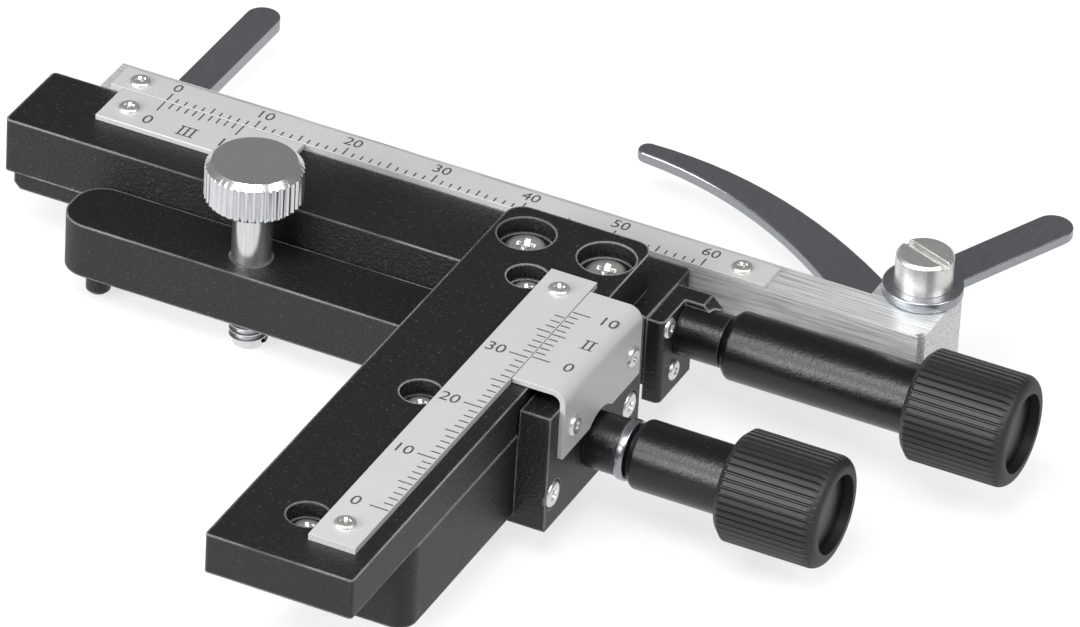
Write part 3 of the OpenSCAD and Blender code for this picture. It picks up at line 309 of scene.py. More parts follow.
def direction(azimuth: float, elevation: float) -> Vector:
    """Gives the direction from the object towards a camera or a lamp.

    Args:
        azimuth: Degrees from the front towards the right.
        elevation: Degrees above the horizon.

    Returns:
        The unit direction.
    """
    side, rise = math.radians(azimuth), math.radians(elevation)
    return Vector((math.sin(side) * math.cos(rise), -math.cos(side) * math.cos(rise), math.sin(rise)))


def flatten(piece: bpy.types.Object) -> None:
    """Keeps large flat faces evenly lit beside their rounded edges.

    Args:
        piece: The object.
    """
    choose(piece)
    weighted = piece.modifiers.new("flat faces", "WEIGHTED_NORMAL")
    weighted.keep_sharp = True
    weighted.weight = 100
    apply_all(piece)


def dress(
    piece: bpy.types.Object, body: Body, finish: bpy.types.Material, node: str | None = None
) -> None:
    """Gives a finished piece its body, its finish and the solid it stands for.

    Args:
        piece: The piece.
        body: The body it rides on.
        finish: The material.
        node: The CAD node that it replaces, if any.
    """
    piece.data.materials.clear()
    piece.data.materials.append(finish)
    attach(piece, body.value)
    if node:
        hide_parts(node)


# ---- Finishes ----


@dataclass(frozen=True)
class Finish:
    """What all finishes share.

    Attributes:
        name: The finish's own name.
        colour: Its main colour.
        roughness: How far it scatters its gloss.
        metallic: 1 for bare metal, 0 for paint, print and plastic.
    """

    name: str
    colour: str
    roughness: float
    metallic: float = 0.0

    def start(self) -> tuple[bpy.types.NodeTree, bpy.types.Node, bpy.types.Material]:
        """Starts the material.

        Returns:
            Its node tree, its surface shader and the material.
        """
        material = bpy.data.materials.new(self.name)
        material.use_nodes = True
        tree = material.node_tree
        shader = tree.nodes["Principled BSDF"]
        shader.inputs["Base Color"].default_value = linear(self.colour)
        shader.inputs["Roughness"].default_value = self.roughness
        shader.inputs["Metallic"].default_value = self.metallic
        return tree, shader, material

    def grain(self, tree: bpy.types.NodeTree, size: float, detail: float = 3.0) -> bpy.types.Node:
        """Adds noise whose blobs have a real size.

        Args:
            tree: The node tree.
            size: Size of a blob in millimetres.
            detail: How many finer layers it has.

        Returns:
            The noise node.
        """
        place = add_node(tree, "ShaderNodeTexCoord")
        return add_node(
            tree,
            "ShaderNodeTexNoise",
            values={"Scale": 1 / (size * MM), "Detail": detail, "Roughness": 0.6},
            links={"Vector": place.outputs["Object"]},
        )

    def edge_mask(self, tree: bpy.types.NodeTree, width: float) -> bpy.types.NodeSocket:
        """Finds the edges of a piece, where its rounded normal leaves its flat one.

        Args:
            tree: The node tree.
            width: Width of the pale band of wear and painted highlight, in millimetres.

        Returns:
            A value that is 0 on faces and rises to 1 on edges.
        """
        # from 10 degrees off the flat face to 28 degrees
        face, edge = 0.985, 0.88
        rounded = add_node(tree, "ShaderNodeBevel", {"samples": 4}, {"Radius": width * MM})
        flat = add_node(tree, "ShaderNodeNewGeometry")
        alike = add_node(
            tree,
            "ShaderNodeVectorMath",
            {"operation": "DOT_PRODUCT"},
            links={"0": rounded.outputs["Normal"], "1": flat.outputs["Normal"]},
        )
        return add_node(
            tree,
            "ShaderNodeMapRange",
            values={"From Min": face, "From Max": edge},
            links={"Value": alike.outputs["Value"]},
        ).outputs["Result"]

    def blend(
        self,
        tree: bpy.types.NodeTree,
        shader: bpy.types.Node,
        colours: tuple[Colour, Colour],
        amount: bpy.types.NodeSocket,
    ) -> None:
        """Gives the surface a mix of two colours.

        Args:
            tree: The node tree.
            shader: The surface shader.
            colours: The linear colours at amounts 0 and 1.
            amount: The share of the second colour.
        """
        mix = add_node(
            tree,
            "ShaderNodeMix",
            {"data_type": "RGBA"},
            {"6": colours[0], "7": colours[1]},
            {"0": amount},
        )
        tree.links.new(mix.outputs[2], shader.inputs["Base Color"])

    def relief(
        self,
        tree: bpy.types.NodeTree,
        shader: bpy.types.Node,
        patterns: tuple[bpy.types.Node, bpy.types.Node],
        swing: tuple[float, float],
        bump: tuple[float, float],
    ) -> None:
        """Varies the gloss and raises the surface.

        Args:
            tree: The node tree.
            shader: The surface shader.
            patterns: The noise of the gloss and the noise of the height.
            swing: How far the roughness goes below and above its middle.
            bump: Strength and height in millimetres.
        """
        gloss = add_node(
            tree,
            "ShaderNodeMapRange",
            values={
                "To Min": max(self.roughness - swing[0], MIRROR),
                "To Max": self.roughness + swing[1],
            },
            links={"Value": patterns[0].outputs["Fac"]},
        )
        tree.links.new(gloss.outputs["Result"], shader.inputs["Roughness"])
        raised = add_node(
            tree,
            "ShaderNodeBump",
            values={"Strength": bump[0], "Distance": bump[1] * MM},
            links={"Height": patterns[1].outputs["Fac"]},
        )
        tree.links.new(raised.outputs["Normal"], shader.inputs["Normal"])


@dataclass(frozen=True)
class BakedEnamel(Finish):
    """Black baked enamel on machined metal.

    It is sprayed over a blasted surface, so it has a fine grain and a soft gloss. Its edges are
    coloured a paler grey: partly rubbed by handling, partly a painted highlight along the edges.

    Attributes:
        worn: Colour of the pale edges, rubbed wear with painted highlight, and of the pale specks.
        grain_mm: Size of the grain, drawn coarser than the real 0.1 mm, which wouldn't show.
        bump_mm: Height of the grain.
        wear: How pale the edges are made, rubbed wear with painted highlight.
        edge_mm: Width of the pale band of wear and painted highlight.
        patch_mm: Length of the pale stretches along the edges.
        specks: How pale the specks at the grain's peaks are: dust, and painted glints.
    """

    worn: str = "#a2a3a8"
    grain_mm: float = 0.34
    bump_mm: float = 0.12
    wear: float = 0.9
    edge_mm: float = 0.38
    patch_mm: float = 9.0
    specks: float = 0.14

    def build(self) -> bpy.types.Material:
        """Builds the material."""
        tree, shader, material = self.start()
        grain = self.grain(tree, self.grain_mm, 4.0)
        cloud = self.grain(tree, self.patch_mm, 2.0)
        edge = self.edge_mask(tree, self.edge_mm)
        # most of an edge's length is paled: rubbed wear, and a painted highlight
        patchy = add_node(
            tree,
            "ShaderNodeMapRange",
            values={"From Min": 0.25, "From Max": 0.55, "To Max": self.wear},
            links={"Value": cloud.outputs["Fac"]},
        )
        worn = add_node(
            tree,
            "ShaderNodeMath",
            {"operation": "MULTIPLY"},
            links={"0": edge, "1": patchy.outputs["Result"]},
        )
        # pale specks at the grain's peaks: dust, and painted glints of the polished peaks
        specks = add_node(
            tree,
            "ShaderNodeMapRange",
            values={"From Min": 0.6, "From Max": 0.78, "To Max": self.specks},
            links={"Value": grain.outputs["Fac"]},
        )
        both = add_node(
            tree,
            "ShaderNodeMath",
            {"operation": "MAXIMUM"},
            links={"0": worn.outputs["Value"], "1": specks.outputs["Result"]},
        )
        # the pale edges and specks are painted into the colour: wear and dust, with painted highlight
        # and glints
        self.blend(tree, shader, (linear(self.colour), linear(self.worn)), both.outputs["Value"])
        self.relief(tree, shader, (grain, grain), (0.08, 0.1), (1.0, self.bump_mm))
        return material


@dataclass(frozen=True)
class MouldedPlastic(Finish):
    """Black moulded plastic of the knobs: even, satin, with a slight skin texture.

    Attributes:
        grain_mm: Size of the skin's grain.
        bump_mm: Its height.
    """

    grain_mm: float = 0.2
    bump_mm: float = 0.008

    def build(self) -> bpy.types.Material:
        """Builds the material."""
        tree, shader, material = self.start()
        grain = self.grain(tree, self.grain_mm)
        self.relief(tree, shader, (grain, grain), (0.08, 0.12), (0.6, self.bump_mm))
        return material


@dataclass(frozen=True)
class BrushedMetal(Finish):
    """Metal with a drawn or polished surface: fine scratches that run one way, and a clouded gloss.

    Attributes:
        stretch: How far the scratches are drawn out along X, Y and Z.
        scratch_mm: Width of a scratch; real ones are finer than the render shows.
        depth_mm: Their depth.
        cloud: How much the gloss varies from place to place.
        tint: How much darker the lines are: scratches, and on the satin bar also painted reflections.
        cloud_mm: Size of the clouds.
    """

    stretch: Point = (0.02, 1.0, 1.0)
    scratch_mm: float = 0.12
    depth_mm: float = 0.004
    cloud: float = 0.12
    tint: float = 0.12
    cloud_mm: float = 4.0

    def build(self) -> bpy.types.Material:
        """Builds the material."""
        tree, shader, material = self.start()
        place = add_node(tree, "ShaderNodeTexCoord")
        drawn = add_node(
            tree,
            "ShaderNodeMapping",
            values={"Scale": self.stretch},
            links={"Vector": place.outputs["Object"]},
        )
        scratch = add_node(
            tree,
            "ShaderNodeTexNoise",
            values={"Scale": 1 / (self.scratch_mm * MM), "Detail": 2.0},
            links={"Vector": drawn.outputs["Vector"]},
        )
        cloud = self.grain(tree, self.cloud_mm)
        # the noise keeps near 0.5, so a narrow range makes clear lines
        lines = add_node(
            tree,
            "ShaderNodeMapRange",
            values={"From Min": 0.36, "From Max": 0.56},
            links={"Value": scratch.outputs["Fac"]},
        )
        plain = linear(self.colour)
        # the darker lines; on the satin bar they are also painted reflections of the dark knob tube
        darker = (*(part * (1 - self.tint) for part in plain[:3]), 1.0)
        self.blend(tree, shader, (darker, plain), lines.outputs["Result"])
        self.relief(tree, shader, (cloud, scratch), (self.cloud, self.cloud), (0.5, self.depth_mm))
        return material


@dataclass(frozen=True)
class Ink(Finish):
    """Black printing ink on the scale plates, a little uneven.

    Attributes:
        thin: Colour where the ink is thin.
        grain_mm: Size of the thin places.
    """

    thin: str = "#4c4d50"
    grain_mm: float = 0.5

    def build(self) -> bpy.types.Material:
        """Builds the material."""
        tree, shader, material = self.start()
        grain = self.grain(tree, self.grain_mm)
        self.blend(tree, shader, (linear(self.colour), linear(self.thin)), grain.outputs["Fac"])
        return material


@dataclass(frozen=True)
class Floor(Finish):
    """The pale studio floor: white to the camera, and it keeps the object's soft shadow.

    Attributes:
        glow: Light that the floor adds to what the camera sees of it.
        mirrored: Its brightness in the object's reflections.
    """

    glow: float = 0.72
    mirrored: float = 0.95

    def build(self) -> bpy.types.Material:
        """Builds the material."""
        tree, shader, material = self.start()
        rays = add_node(tree, "ShaderNodeLightPath")
        seen = add_node(
            tree,
            "ShaderNodeMath",
            {"operation": "MAXIMUM"},
            links={"0": rays.outputs["Is Camera Ray"], "1": rays.outputs["Is Transmission Ray"]},
        )
        light = add_node(tree, "ShaderNodeEmission", values={"Color": WHITE, "Strength": self.glow})
        both = add_node(
            tree, "ShaderNodeAddShader", links={"0": shader.outputs[0], "1": light.outputs[0]}
        )
        # in the metal's reflections the floor is evenly bright
        paper = add_node(tree, "ShaderNodeEmission", values={"Color": WHITE, "Strength": self.mirrored})
        glossy = add_node(
            tree,
            "ShaderNodeMixShader",
            links={
                "0": rays.outputs["Is Glossy Ray"],
                "1": shader.outputs[0],
                "2": paper.outputs[0],
            },
        )
        mix = add_node(
            tree,
            "ShaderNodeMixShader",
            links={"0": seen.outputs["Value"], "1": glossy.outputs[0], "2": both.outputs[0]},
        )
        out = tree.nodes["Material Output"]
        tree.links.new(mix.outputs["Shader"], out.inputs["Surface"])
        return material


EVERY_WAY = (1.0, 1.0, 1.0)
# stove enamel on blasted zinc castings: near black, grainy, with grey edges of wear and painted
# highlight
ENAMEL = BakedEnamel("black_baked_enamel", "#0d0d0e", 0.46)
# the same enamel on turned steel, so smooth that a soft streak runs along it
SLEEVE = BakedEnamel("turned_black_enamel", "#0b0b0c", 0.3, bump_mm=0.03, wear=0.2, specks=0.05)
# moulded ABS: satin dark grey on the knobs' ribs, and a deeper black in their ends
KNOB = MouldedPlastic("black_moulded_plastic", "#1a1a1c", 0.5)
KNOB_END = MouldedPlastic("dark_glossy_insert", "#060607", 0.3)
# dull nickel on pressed steel screws: pale, with soft highlights
NICKEL = BrushedMetal("bright_nickel_plate", "#e2e1de", 0.34, 0.9, EVERY_WAY, 0.3, 0.003, 0.08)
# chrome on turned steel: it shows the lamps and the dark between them
CHROME = BrushedMetal("polished_chrome", "#e2e4e6", 0.22, 0.95, (1.0, 1.0, 0.05), 0.15, 0.001, 0.04)
# anodised aluminium sheet: even silver-grey without a clear reflection
PLATE = BrushedMetal("satin_silvered_plate", "#c3c5c3", 0.5, 0.35, EVERY_WAY, 0.12, 0.003, 0.08, 0.06)
# nickel on drawn steel: pale, with dark lines along the bar, drawn lines and painted reflections of the
# dark knob tube in front of it
BAR = BrushedMetal("satin_nickel_bar", "#dfe2e2", 0.4, 0.55, (0.02, 1.0, 1.0), 0.16, 0.016, 0.1, 0.42)
# polished spring steel of the fingers: dark grey with bright edges
STEEL = BrushedMetal("polished_dark_steel", "#a0a3a8", 0.26, 0.95, (1.0, 0.1, 1.0), 0.15, 0.003)
# milled brass of the rack, inside
BRASS = BrushedMetal("machined_brass", "#c9a961", 0.3, 1.0, (1.0, 0.2, 1.0), 0.15, 0.003)
INK = Ink("black_printing_ink", "#343538", 0.6)

SLOT_FINISH = {
    Slot.ENAMEL: ENAMEL,
    Slot.KNOB: KNOB,
    Slot.NICKEL: NICKEL,
    Slot.PLATE: PLATE,
    Slot.BAR: BAR,
    Slot.STEEL: STEEL,
    Slot.BRASS: BRASS,
}
# nodes whose finish isn't their slot's own
NODE_FINISH = {
    "y_washer": STEEL,
    "y_bush": SLEEVE,
    "x_bush": SLEEVE,
    "y_sleeve": SLEEVE,
    "x_sleeve": SLEEVE,
    "y_knob_cap": KNOB_END,
    "x_knob_cap": KNOB_END,
}


@cache
def material_of(finish: Finish) -> bpy.types.Material:
    """Gives a finish's material, which is built only once.

    Args:
        finish: The finish.

    Returns:
        The material.
    """
    return finish.build()


# ---- Rounding the machined pieces ----


def machined(solid: bpy.types.Object, edge_mm: float, segments: int) -> bpy.types.Object:
    """Copies a solid that only lacks its broken edges, and rounds them.

    Args:
        solid: The solid.
        edge_mm: Width of the rounded edge.
        segments: Steps across the edge.

    Returns:
        The rounded copy.
    """
    piece = solid.copy()
    piece.data = solid.data.copy()
    bpy.context.scene.collection.objects.link(piece)
    with editing(piece):
        bpy.ops.mesh.remove_doubles(threshold=MERGE)
        bpy.ops.mesh.dissolve_limited(angle_limit=math.radians(FLAT_DEG))
    round_edges(piece, edge_mm * MM, segments, EDGE_DEG)
    smooth(piece, SMOOTH_DEG)
    flatten(piece)
    return piece


# ---- Printed scales ----


@dataclass
class Scale:
    """Marks and numbers printed on a plate.

    Places on the plate are given by two directions: along the scale, and the way its marks point.
    All labels read from the front, with their tops away from the user.

    Attributes:
        name: The piece's name.
        body: The body the plate belongs to.
        origin: The foot of the zero mark, on the plate's top.
        along: Unit direction of rising numbers.
        marks_to: Unit direction in which the marks grow from the edge.
        count: Number of divisions.
        step: Length of a division in metres.
        lengths: Mark lengths for a plain, a fifth and a tenth mark.
        labels: What is printed at which division.
        label_offset: Distance from the edge to the middle of the labels.
        label_height: Height of the digits.
        mark_w: Width of a mark.
        ink_t: Thickness of the ink, which keeps it clear of the plate.
        cap_share: Height of the font's digits as a share of its size.
        strokes: Pitch and width of a Roman numeral's strokes, as shares of its height.
        slab: Length of a stroke's slab as a share of the pitch, and its thickness as one of the width.
    """

    name: str
    body: Body
    origin: Vector
    along: Vector
    marks_to: Vector
    count: int
    step: float
    lengths: tuple[float, float, float]
    labels: dict[int, str]
    label_offset: float
    label_height: float
    mark_w: float = 0.16 * MM
    ink_t: float = 0.012 * MM
    cap_share: float = 0.72
    strokes: tuple[float, float] = (0.42, 0.13)
    slab: tuple[float, float] = (0.96, 0.6)

    def film(self, place: Vector, size: Point) -> bpy.types.Object:
        """Makes one flat rectangle of ink.

        Args:
            place: Its middle.
            size: Its lengths along X and Y, with 1 for Z.

        Returns:
            The rectangle.
        """
        deselect()
        bpy.ops.mesh.primitive_plane_add(size=1, location=place)
        film = bpy.context.object
        film.scale = size
        settle(film)
        return film

    def label_place(self, index: int) -> Vector:
        """Finds the middle of a label.

        Args:
            index: The division it stands at.

        Returns:
            The place.
        """
        return self.origin + self.along * (index * self.step) + self.marks_to * self.label_offset

    def mark(self, index: int) -> bpy.types.Object:
        """Makes one mark as a thin film of ink.

        Args:
            index: The division.

        Returns:
            The mark.
        """
        plain, fifth, tenth = self.lengths
        length = tenth if index % 10 == 0 else fifth if index % 5 == 0 else plain
        middle = self.origin + self.along * (index * self.step) + self.marks_to * (length / 2)
        size = [
            max(abs(self.along[axis]) * self.mark_w, abs(self.marks_to[axis]) * length) or 1
            for axis in range(3)
        ]
        return self.film(middle, size)

    def roman(self, index: int, text: str) -> bpy.types.Object:
        """Makes a Roman numeral of upright strokes with slab ends.

        Args:
            index: The division it stands at.
            text: The numeral, of the letter I only.

        Returns:
            The numeral as a mesh.
        """
        height = self.label_height
        pitch, stroke = (share * height for share in self.strokes)
        slab = (pitch * self.slab[0], stroke * self.slab[1], 1)
        films = []
        for stroke_at in range(len(text)):
            middle = self.label_place(index) + RIGHT * ((stroke_at - (len(text) - 1) / 2) * pitch)
            films.append(self.film(middle, (stroke, height, 1)))
            films += [self.film(middle + AWAY * (side * height / 2), slab) for side in (-1, 1)]
        return join(films, f"numeral_{text}")

    def numeral(self, index: int, text: str) -> bpy.types.Object:
        """Makes one printed number.

        Args:
            index: The division it stands at.
            text: The number.

        Returns:
            The number as a mesh.
        """
        deselect()
        bpy.ops.object.text_add()
        label = bpy.context.object
        label.data.body = text
        label.data.align_x = "CENTER"
        label.data.align_y = "CENTER"
        label.data.size = self.label_height / self.cap_share
        label.data.resolution_u = 3
        label.location = self.label_place(index)
        choose(label)
        bpy.ops.object.convert(target="MESH")
        settle(label)
        return label

    def build(self, ink: bpy.types.Material) -> None:
        """Prints the scale as one piece.

        Args:
            ink: The ink's material.
        """
        films = [self.mark(index) for index in range(self.count + 1)]
        for index, text in self.labels.items():
            films.append(self.roman(index, text) if text.startswith("I") else self.numeral(index, text))
        print_piece = join(films, self.name)
        with editing(print_piece):
            bpy.ops.mesh.extrude_region_move(TRANSFORM_OT_translate={"value": (0, 0, self.ink_t)})
            bpy.ops.mesh.select_all(action="SELECT")
            bpy.ops.mesh.normals_make_consistent(inside=False)
        dress(print_piece, self.body, ink)


# ---- Screws ----


@dataclass
class CrossScrew:
    """A pan-head screw with a cross recess, modelled over the plain one in the solids.

    Attributes:
        node: The CAD node whose solids it replaces.
        body: The body it belongs to.
        axis: Direction in which the heads point.
        turn: Turn of the recess in degrees.
        dome: Rounded part of the head, as a share of its height.
        wing: Length and width of a recess's wing, as shares of the head's radius.
        wing_z: Middle and height of the wing's cutter, as shares of the head's height.
        taper: How far the wing narrows to its bottom, along and across.
        edge: Rounding of the recess's edges, as a share of the head's radius.
        stem: Radius of the thread, as a share of the head's radius.
    """

    node: str
    body: Body
    axis: Vector
    turn: float = 20.0
    dome: float = 0.62
    wing: tuple[float, float] = (1.25, 0.3)
    wing_z: tuple[float, float] = (0.85, 1.2)
    taper: tuple[float, float] = (0.35, 0.7)
    edge: float = 0.035
    stem: float = 0.58

    def solids(self, frame: dict) -> list[Bounds]:
        """Finds the corners of each screw in the node.


        Returns:
            One pair of corners for each screw.
        """
        source = frame["nodes"][self.node]
        mesh = bmesh.new()
        mesh.from_mesh(source.data)
        bmesh.ops.remove_doubles(mesh, verts=mesh.verts, dist=MERGE)
        left = set(mesh.verts)
        found: list[Bounds] = []
        while left:
            queue = [left.pop()]
            island = set(queue)
            while queue:
                for edge in queue.pop().link_edges:
                    for vert in edge.verts:
                        if vert not in island:
                            island.add(vert)
                            queue.append(vert)
            left -= island
            places = [vert.co for vert in island]
            low = Vector([min(place[axis] for place in places) for axis in range(3)])
            high = Vector([max(place[axis] for place in places) for axis in range(3)])
            found.append((low, high))
        mesh.free()
        return found

    def head(self, radius: float, height: float) -> bpy.types.Object:
        """Models one head at the origin, its seat at z = 0.

        Args:
            radius: Radius of the head.
            height: Height of the head.

        Returns:
            The head with its recess.
        """
        deselect()
        bpy.ops.mesh.primitive_cylinder_add(
            vertices=48, radius=radius, depth=height, location=(0, 0, height / 2)
        )
        head = bpy.context.object
        round_edges(head, height * self.dome, 5, 40)
        blades = []
        for angle in (0, 90):
            deselect()
            bpy.ops.mesh.primitive_cube_add(size=1, location=(0, 0, height * self.wing_z[0]))
            blade = bpy.context.object
            blade.scale = (radius * self.wing[0], radius * self.wing[1], height * self.wing_z[1])
            settle(blade)
            for vert in blade.data.vertices:
                if vert.co.z < height / 2:
                    vert.co.x *= self.taper[0]
                    vert.co.y *= self.taper[1]
            blade.rotation_euler.z = math.radians(angle + self.turn)
            settle(blade)
            blades.append(blade)
        for blade in blades:
            cut = head.modifiers.new("recess", "BOOLEAN")
            cut.operation = "DIFFERENCE"
            cut.solver = "EXACT"
            cut.object = blade
            apply_all(head)
            bpy.data.objects.remove(blade)
        round_edges(head, radius * self.edge, 2, SMOOTH_DEG)
        smooth(head, 40)
        return head

    def build(self, frame: dict, finish: bpy.types.Material, seat: float) -> None:
        """Models every screw of the node, all as one piece.

        Args:
            finish: The material.
            seat: Height of a head in metres.
        """
        screws = []
        pattern: bpy.types.Object | None = None
        spin = UP.rotation_difference(self.axis).to_matrix().to_4x4()
        main = [abs(part) for part in self.axis].index(1.0)
        across = [axis for axis in range(3) if axis != main]
        for low, high in self.solids(frame):
            radius = (high[across[0]] - low[across[0]]) / 2
            if pattern is None:
                pattern = self.head(radius, seat)
            top = high[main] if self.axis[main] > 0 else low[main]
            place = (low + high) / 2
            place[main] = top - self.axis[main] * seat
            screw = pattern.copy()
            screw.data = pattern.data.copy()
            bpy.context.scene.collection.objects.link(screw)
            screw.matrix_world = Matrix.Translation(place) @ spin
            settle(screw)
            screws.append(screw)
            # plain thread below the seat, mostly hidden in its hole
            length = abs(high[main] - low[main]) - seat
            deselect()
            bpy.ops.mesh.primitive_cylinder_add(vertices=24, radius=radius * self.stem, depth=length)
            stem = bpy.context.object
            middle = place - self.axis * (length / 2)
            stem.matrix_world = Matrix.Translation(middle) @ spin
            settle(stem)
            screws.append(stem)
        bpy.data.objects.remove(pattern)
        piece = join(screws, f"{self.node}_crossed")
        smooth(piece, 40)
        dress(piece, self.body, finish, self.node)


# ---- The clamp's thread ----


@dataclass
class ClampStud:
    """The clamp screw's shank and its cut thread.

    Attributes:
        shank_r: Radius of the bare shank.
        thread_r: Radius over the thread.
        pitch: Thread pitch; 0.7 mm is the standard coarse pitch of a 4 mm thread.
        depth: Depth of the thread.
        start: Height at which the thread begins inside the bar.
        flank: Height of a thread's flank, as a share of the pitch.
        crest: Height of its flat crest, as a share of the pitch.
        tip: Length of the plain point.
        core_out: How far the core reaches into the thread, so that no gap shows.
        steps: Points round one turn.
    """

    shank_r: float = 2.05 * MM
    thread_r: float = 2.0 * MM
    pitch: float = 0.7 * MM
    depth: float = 0.42 * MM
    start: float = 1.0 * MM
    flank: float = 0.44
    crest: float = 0.12
    tip: float = 0.5 * MM
    core_out: float = 0.03 * MM
    steps: int = 40

    def build(self, finish: bpy.types.Material) -> None:
        """Models the stud in place of its plain solid.

        Args:
            finish: The material.
        """
        low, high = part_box("clamp_stud")
        turns = int((self.start - low[2] - self.tip) / self.pitch)
        foot = self.start - turns * self.pitch
        deselect()
        bpy.ops.mesh.primitive_plane_add(size=1)
        helix = bpy.context.object
        helix.name = "thread"
        with editing(helix):
            bpy.ops.mesh.merge(type="CENTER")
        root = self.thread_r - self.depth
        helix.data.vertices[0].co = (root, 0, 0)
        flank = self.pitch * self.flank
        profile = [(self.depth, flank), (0.0, self.pitch * self.crest), (-self.depth, flank)]
        with editing(helix):
            for out, rise in profile:
                bpy.ops.mesh.extrude_vertices_move(TRANSFORM_OT_translate={"value": (out, 0, rise)})
        screw = helix.modifiers.new("thread", "SCREW")
        screw.screw_offset = self.pitch
        screw.iterations = turns
        screw.steps = self.steps
        screw.render_steps = self.steps
        screw.use_merge_vertices = True
        screw.merge_threshold = MERGE
        apply_all(helix)
        helix.location.z = foot - self.pitch
        settle(helix)
        core_r = root + self.core_out
        core = self.cone("core", core_r, core_r, low[2] + self.tip * 0.5, self.start + self.pitch)
        # the point tapers to four fifths and runs a little into the core
        point = self.cone("point", root * 0.8, core_r, low[2], low[2] + self.tip * 0.6)
        shank = self.cone("shank", self.shank_r, self.shank_r, self.start, high[2])
        stud = join([shank, core, point, helix], "clamp_stud_threaded")
        smooth(stud)
        dress(stud, Body.CLAMP, finish, "clamp_stud")

    def cone(self, name: str, lower: float, upper: float, low: float, high: float) -> bpy.types.Object:
        """Makes an upright cone, or a rod where both radii are the same.

        Args:
            name: Its name.
            lower: Radius of its foot.
            upper: Radius of its top.
            low: Height of its foot.
            high: Height of its top.

        Returns:
            The cone.
        """
        deselect()
        middle = (0, 0, (low + high) / 2)
        bpy.ops.mesh.primitive_cone_add(
            vertices=64, radius1=lower, radius2=upper, depth=high - low, location=middle
        )
        piece = bpy.context.object
        piece.name = name
        settle(piece)
        return piece


@dataclass
class ClampHead:
    """The clamp screw's turned head: narrow flutes, and a plain polished bevel round its top.

    Attributes:
        flutes: Number of flutes.
        steps: Points round the rim for one flute.
        depth: Depth of a flute.
        bevel: Width and height of the top's bevel.
        foot: Width and height of the lower edge's bevel.
        rib: Share of a flute's step that its rib's top takes up.
    """

    flutes: int = 40
    steps: int = 8
    depth: float = 0.34 * MM
    bevel: float = 0.65 * MM
    foot: float = 0.35 * MM
    rib: float = 0.2

    def ring(self, radius: float, share: float) -> list[tuple[float, float]]:
        """Gives one outline of the head.

        Args:
            radius: Radius over the ribs.
            share: How deep the flutes are there, from 0 to 1.

        Returns:
            The outline's points.
        """
        points = []
        count = self.flutes * self.steps
        for index in range(count):
            phase = (index % self.steps) / self.steps
            # a round-bottomed valley between the ribs
            valley = max(0.0, math.sin(math.pi * (phase * 1.7 - 0.35))) ** 0.7
            dip = valley if phase > self.rib else 0.0
            reach = radius - self.depth * share * dip
            angle = 2 * math.pi * index / count
            points.append((reach * math.cos(angle), reach * math.sin(angle)))
        return points

    def build(self, finish: bpy.types.Material) -> None:
        """Models the head in place of its plain solid.

        Args:
            finish: The material.
        """
        low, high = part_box("clamp_head")
        radius = (high[0] - low[0]) / 2
        top = high[2]
        # height, radius and share of the flutes' depth; the flutes run out below the bevel
        levels = [
            (low[2], radius - self.foot, 0.0),
            (low[2] + self.foot, radius, 1.0),
            (top - self.bevel * 1.15, radius, 1.0),
            (top - self.bevel, radius, 0.55),
            (top - self.bevel * 0.82, radius - self.bevel * 0.12, 0.0),
            (top, radius - self.bevel, 0.0),
        ]
        deselect()
        count = self.flutes * self.steps
        bpy.ops.mesh.primitive_circle_add(vertices=count, radius=radius, fill_type="NGON")
        head = bpy.context.object
        head.name = "clamp_head_fluted"
        with editing(head):
            for _ in levels[1:]:
                bpy.ops.mesh.extrude_region_move(TRANSFORM_OT_translate={"value": (0, 0, MM)})
        # each extrusion left one ring of points a step higher than the last
        rings: dict[int, list[bpy.types.MeshVertex]] = {}
        for vert in head.data.vertices:
            rings.setdefault(round(vert.co.z / MM), []).append(vert)
        for level, verts in rings.items():
            height, reach, share = levels[level]
            outline = self.ring(reach, share)
            for vert in verts:
                turn = math.atan2(vert.co.y, vert.co.x) % (2 * math.pi)
                x, y = outline[round(turn / (2 * math.pi) * count) % count]
                vert.co = (x, y, height)
        with editing(head):
            bpy.ops.mesh.normals_make_consistent(inside=False)
        smooth(head, 25)
        dress(head, Body.CLAMP, finish, "clamp_head")


# ---- The object ----


